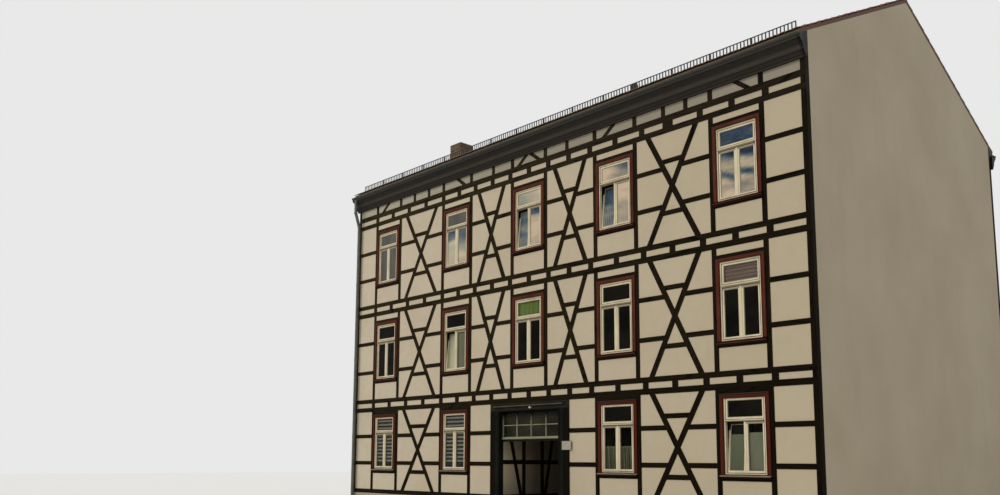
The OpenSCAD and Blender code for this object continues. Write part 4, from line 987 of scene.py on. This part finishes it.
def trimWindows():
    # Putty beads round the glass of every light
    trim = {
        "tiltedFace": -5.166, "casingHalf": 0.503, "casingHead": 0.080, "casingOut": 0.025,
        "transomHalf": 0.462, "footInset": 0.004, "footUp": 0.024,
    }
    bead = [(0.0, -0.002), (0.012, 0.0), (0.0, 0.013)]
    rects = {(s, w, k): lightRect(s, w, k, house["sash"]) for s, w in windows for k in range(3)}
    closed = mouldedFrames([r for light, r in rects.items() if not isTilted(*light)], bead, house["paneFace"])
    points, faces = mouldedFrames(list(rects.values()), bead, house["paneFace"])
    parts = [closed, (points * [1, -1, 1], faces[:, ::-1])]
    for storey, window in tiltedWindows:
        points, faces = mouldedFrames([tiltedRect(storey, window)], bead, trim["tiltedFace"])
        parts.append((tiltPoints(points, storey), faces))
    makePiece("puttyBeads", *joinMeshes(*parts), beadCream, "window_paint")

    # painted shadow lines: thin dark strips over the gaps between each light and the fixed frame,
    # and between the frame and the casing
    line = [(-0.005, 0.0), (0.004, 0.0), (0.004, 0.0012), (-0.005, 0.0012)]
    outline = [(0.0, 0.0), (0.006, 0.0), (0.006, 0.0015), (0.0, 0.0015)]
    lights = [lightRect(s, w, 0) for s, w in windows]
    lights += [[lightRect(s, w, 1)[0], lightRect(s, w, 2)[1], *house["lowerLight"][s]] for s, w in windows]
    casings = []
    for storey, window in windows:
        x, top = house["windowX"][window], house["casingTop"][storey] - trim["casingHead"]
        casings.append([x - trim["casingHalf"], x + trim["casingHalf"], house["casingFoot"][storey], top])
    gaps = [mouldedFrames(lights, line, house["front"]), mouldedFrames(casings, outline, house["front"])]
    makePiece("frameShadowLines", *bothFronts(*joinMeshes(*gaps)), shadowGapPaint, "window_paint")

    # the transom: a drip moulding, and a foot rail on each lower light that throws the water off
    transom = [
        (0.0, -0.014), (0.012, -0.020), (0.024, -0.014), (0.028, -0.002),
        (0.018, 0.006), (0.010, 0.012), (0.0, 0.014),
    ]
    weather = [(0.0, -0.014), (0.016, -0.014), (0.018, -0.004), (0.006, 0.014), (0.0, 0.020)]
    runs, low = [], []
    for storey, window in windows:
        x = house["windowX"][window]
        level = (house["lowerLight"][storey][1] + house["upperLight"][storey][0]) / 2
        runs.append([x - trim["transomHalf"], x + trim["transomHalf"], house["front"], level])
        for light in (1, 2):
            if not isTilted(storey, window, light):
                x0, x1, z0, _ = lightRect(storey, window, light)
                inset = trim["footInset"]
                low.append([x0 + inset, x1 - inset, house["sashFace"], z0 + trim["footUp"]])
    bars, feet = mouldedRuns(runs, transom), mouldedRuns(low, weather)
    # the underside and the face of the transom are in shade, its sloping top isn't
    dull = np.tile([1, 1, 1, 0.7, 0, 0, 0], len(bars[0]) // len(transom))
    tone = np.tile(np.concatenate([dull, np.zeros(len(feet[0]))]), 2)
    both = bothFronts(*joinMeshes(bars, feet))
    makePiece("transomMouldings", *both, transomCream, "window_paint", tone=tone)

    # casing: an inner quarter bead that catches the light
    inner = [(-0.014, 0.0), (0.0, 0.0), (-0.001, 0.006), (-0.006, 0.011), (-0.014, 0.012)]
    lip = mouldedFrames(casings, inner, house["front"] - trim["casingOut"])
    makePiece("casingBeads", *bothFronts(*lip), redPaint, "casing")


def fitSills():
    # Window boards with a rounded nose, a drip groove below and a cove against the wall
    sill = {"half": 0.600, "top": -0.032}
    nose = [
        (0.0, -0.062), (0.020, -0.062), (0.024, -0.050), (0.034, -0.040), (0.044, -0.036), (0.048, -0.030),
        (0.053, -0.034), (0.060, -0.030), (0.062, -0.016), (0.058, -0.004), (0.050, 0.001), (0.0, 0.006),
    ]
    runs = []
    for storey, window in windows:
        x, level = house["windowX"][window], house["casingFoot"][storey] + sill["top"]
        runs.append([x - sill["half"], x + sill["half"], house["front"], level])
    points, faces = bothFronts(*mouldedRuns(runs, nose))
    # up the nose, 1 is painted shade: at the foot, in the drip groove and along the top; the cove and
    # the nose itself keep the red, though less so at street level
    levels = [-0.062, -0.054, -0.046, -0.038, -0.030, -0.022, -0.010, -0.004]
    edge = np.interp([up for _, up in nose], levels, [0.8, 0.5, 0.45, 1, 0.6, 0.1, 0.2, 1])
    tone = np.tile(edge, len(points) // len(nose)) + 0.3 * (points[:, 2] < house["streetTop"])
    makePiece("roundedSills", points, faces, sillPaint, "casing", ["window_boards"], tone=tone)
    # the street level sills carry a sheet of zinc turned down over the nose
    cover = [
        (0.0, 0.008), (0.056, 0.004), (0.0625, -0.002), (0.0625, -0.010), (0.0655, -0.010), (0.066, 0.014),
        (0.060, 0.016), (0.0, 0.020),
    ]
    street = mouldedRuns([run for run in runs if run[3] < house["streetTop"]], cover)
    makePiece("sillCovers", *bothFronts(*street), sillZinc, "zinc")


# Cloths hang behind a light's glass and lap over its sash all round
cloth = {"y": -5.149, "lap": 0.015}


# A hanging over the given share of a light: x runs along u, z down along v, and y waves with the
# folds, deeper towards the foot. The tone of a point tells how far it lies in the hollow of a fold.
def hangCloth(name, light, finish, slot, share=1.0, folds=0, depth=0.0, seed=1):
    x0, x1, z0, z1 = lightRect(*light, house["sash"] - cloth["lap"])
    z1 = z0 + share * (z1 - z0)
    across, rows = max(3, folds * 8 + 1), 15
    u, v = np.meshgrid(np.linspace(0, 1, across), np.linspace(0, 1, rows))
    phase = np.random.default_rng(seed).uniform(0, 6.28)
    sway = 0.5 * np.sin(2 * math.pi * u * 1.3 + phase) + 0.4 * np.sin(2 * math.pi * u * 2.7 + 2 * phase + v)
    hollow = 0.5 - 0.5 * np.cos(2 * math.pi * folds * (u + 0.05 * sway))
    points = spots(x0 + u * (x1 - x0), cloth["y"] + depth * (0.55 + 0.45 * v) * hollow, z1 - v * (z1 - z0))
    along = np.linalg.norm(np.diff(points, axis=1), axis=2).sum(1).mean()
    faces = gridQuads(rows, across)[:, ::-1]
    tone = (hollow * np.clip(v * 12, 0.15, 1)).ravel()
    made = makePiece(name, points.reshape(-1, 3), faces, finish, slot, [slot + "s"], True, tone=tone)
    float(z1 - z0)


def hangBlinds():
    for count, light in enumerate([(0, w, k) for w in (0, 1) for k in range(3)]):
        hangCloth(f"stripedBlind{count + 1}", light, stripedBlind, "blind")
    hangCloth("greenBlind", (1, 1, 2), greenBlind, "blind")
    # the pleated blind swells out between its creases, as a half wave down the cloth
    part = {"pleats": 5, "swell": 0.014}
    x0, x1, z0, z1 = lightRect(1, 4, 0, house["sash"] - cloth["lap"])
    v = np.linspace(0, 1, 41)
    swell = np.abs(np.sin(math.pi * part["pleats"] * v)) ** 0.8
    z, y = z1 - v * (z1 - z0), cloth["y"] + part["swell"] * (1 - swell)
    points = spots(np.linspace(x0, x1, 4), y[:, None], z[:, None]).reshape(-1, 3)
    down = np.hypot(np.diff(y), np.diff(z)).sum()
    # painted shade: each pleat is darker under its crease
    fall = np.repeat(1 - (v * part["pleats"] % 1), 4)  # each pleat is lighter towards its foot
    faces = gridQuads(len(v), 4)[:, ::-1]
    made = makePiece("pleatedBlind", points, faces, slatCloth, "blind", ["blinds"], tone=fall)
    x1 - x0
    hangCloth("frostedCloth", (0, 4, 2), filmCloth, "blind", 0.8)


def hangCurtains():
    hangs = [
        ("cafeCurtainLeft", (0, 3, 1), netCurtain, 0.55, 7),
        ("cafeCurtainRight", (0, 3, 2), netCurtain, 0.55, 7),
        ("greenCurtain", (1, 2, 0), greenCloth, 1.0, 5),
        ("gatheredCurtainLeft", (2, 1, 1), whiteCurtain, 1.0, 4),
        ("gatheredCurtainRight", (2, 1, 2), whiteCurtain, 1.0, 4),
        ("sideCurtain", (2, 3, 2), whiteCurtain, 1.0, 5),
    ]
    for k, (name, light, finish, share, folds) in enumerate(hangs):
        hangCloth(name, light, finish, "curtain", share, folds, depth=0.022, seed=20 + k)


def trimGate():
    # Planted mouldings: a roll round the opening, panels on the posts, and a band on the head
    gate = {"inner": 1.100, "outer": 1.453, "face": -5.22, "top": 2.945, "lap": 0.03}
    roll = [(0.0, 0.0), (0.028, 0.0), (0.030, 0.008), (0.022, 0.016), (0.010, 0.018), (0.0, 0.012)]
    panel = [(0.0, 0.0), (0.020, 0.0), (0.014, 0.008), (0.004, 0.010)]
    panels = []
    for side in (-1, 1):
        x0, x1 = sorted((side * (gate["inner"] + 0.045), side * (gate["outer"] - 0.195)))
        for z0, z1 in ((0.25, 1.05), (1.13, 1.86), (2.18, 2.86)):
            panels.append([x0, x1, z0, z1])
    front = mouldedFrames(panels, panel, gate["face"])
    # a cover strip where the gate's own frame meets the timber posts
    strip = {"x": 1.288, "foot": 0.02, "height": 2.915, "radius": 0.009}
    feet = spots(np.array([-strip["x"], strip["x"]]), gate["face"], strip["foot"])
    strips = uprights(feet, strip["height"], strip["radius"])
    reach, crown = gate["inner"] + gate["lap"], gate["top"] + gate["lap"]
    edge, faces = mouldedFrames([[-reach, reach, -gate["lap"], crown]], roll, gate["face"])
    edge[:, 2] = np.maximum(edge[:, 2], 0.0)
    ogee = [
        (0.0, -0.012), (0.006, -0.012), (0.012, -0.006), (0.010, 0.001),
        (0.018, 0.007), (0.018, 0.011), (0.0, 0.013),
    ]
    band = {"half": 1.286, "face": -5.26, "level": 3.0795}
    run = mouldedRuns([[-band["half"], band["half"], band["face"], band["level"]]], ogee)
    makePiece("gateMouldings", *bothFronts(*joinMeshes(front, strips)), gatePaint, "gate_paint")
    makePiece("gateRoll", *bothFronts(edge, faces), gatePaint, "gate_paint")
    makePiece("gateBand", *bothFronts(*run), bandPaint, "gate_paint")


def trimFanlight():
    # The transom bar's weathering moulding, and a half-round rod down each upright bar
    fan = {
        "face": -5.090, "half": 1.1, "bar": 0.042, "foot": 2.272, "head": 2.903, "sill": 2.237,
        "radius": 0.012,
    }
    sill = [(0.0, -0.03), (0.014, -0.03), (0.026, -0.020), (0.030, -0.004), (0.016, 0.012), (0.0, 0.022)]
    bar = mouldedRuns([[-fan["half"], fan["half"], fan["face"], fan["sill"]]], sill)
    x = np.linspace(-fan["half"] + fan["bar"] / 2, fan["half"] - fan["bar"] / 2, 5)[1:-1]
    rods = uprights(spots(x, fan["face"], fan["foot"]), fan["head"] - fan["foot"], fan["radius"], 8)
    makePiece("fanlightBeads", *rods, fanPaint, "fanlight_paint")
    makePiece("fanlightSill", *bar, fanSill, "fanlight_paint")
    # the dark rail that the fanlight stands on
    rail = {"face": -5.052, "level": 2.180}
    square = [(0.0, -0.028), (0.034, -0.028), (0.034, 0.024), (0.0, 0.024)]
    run = mouldedRuns([[-fan["half"], fan["half"], rail["face"], rail["level"]]], square)
    makePiece("fanlightRail", *run, gatePaint, "gate_paint")


def setStage():
    stage = {
        "half": 90.0, "floor": (226, 224, 218), "mottle": (216, 214, 208), "sky": (232, 233, 232),
        "light": (240, 243, 250), "world": 0.62,
    }
    corners = [(x * stage["half"], y * stage["half"], 0) for x, y in ((-1, -1), (1, -1), (1, 1), (-1, 1))]
    mesh = bpy.data.meshes.new("paleFloor")
    mesh.from_pydata(corners, [], [(0, 1, 2, 3)])
    r = Recipe("paleFloor")
    mottle = r.mix(r.noise(1.5, 2.0, 0.5) * 0.1, stage["floor"], stage["mottle"])
    mesh.materials.append(r.finish(mottle, 0.9, specular=0.1))
    addObject("paleFloor", mesh)

    # soft light from all round; the camera and what the glass mirrors see the plain backdrop instead
    world = bpy.data.worlds.new("softStudio")
    bpy.context.scene.world = world
    r = Recipe("softStudio", world)
    seen = r.add("ShaderNodeLightPath", output="Is Camera Ray")
    for name in ("Is Glossy Ray", "Is Transmission Ray"):
        seen = seen.sum("MAXIMUM", r.add("ShaderNodeLightPath", output=name))
    light = r.add("ShaderNodeBackground", {}, {0: stage["light"], 1: stage["world"]})
    backdrop = r.add("ShaderNodeBackground", {}, {0: stage["sky"], 1: 1.0})
    r.close("ShaderNodeOutputWorld", r.add("ShaderNodeMixShader", {}, {0: seen, 1: light, 2: backdrop}))

    # a broad soft key from the left of the street, and a weak fill behind the house
    suns = [("softKey", 1.55, 28.0, (50, 0, -28)), ("backFill", 0.9, 40.0, (52, 0, 150))]
    for name, power, spread, turn in suns:
        data = bpy.data.lights.new(name, "SUN")
        data.energy, data.angle = power, math.radians(spread)
        data.color = (1.0, 0.985, 0.96)
        addObject(name, data).rotation_euler = [math.radians(a) for a in turn]
    bpy.context.scene.view_settings.view_transform = "Standard"


placeCamera()
dressNodes()
layTiles()
layRidge()
print("roof laid")
fitSnowGuards()
fitGutters()
fitPipeSleeves()
coverChimneys()
print("metalwork and chimneys done")
glazeWindows()
trimWindows()
fitSills()
print("windows trimmed")
hangBlinds()
hangCurtains()
trimGate()
trimFanlight()
print("cloth and gateway done")
setStage()
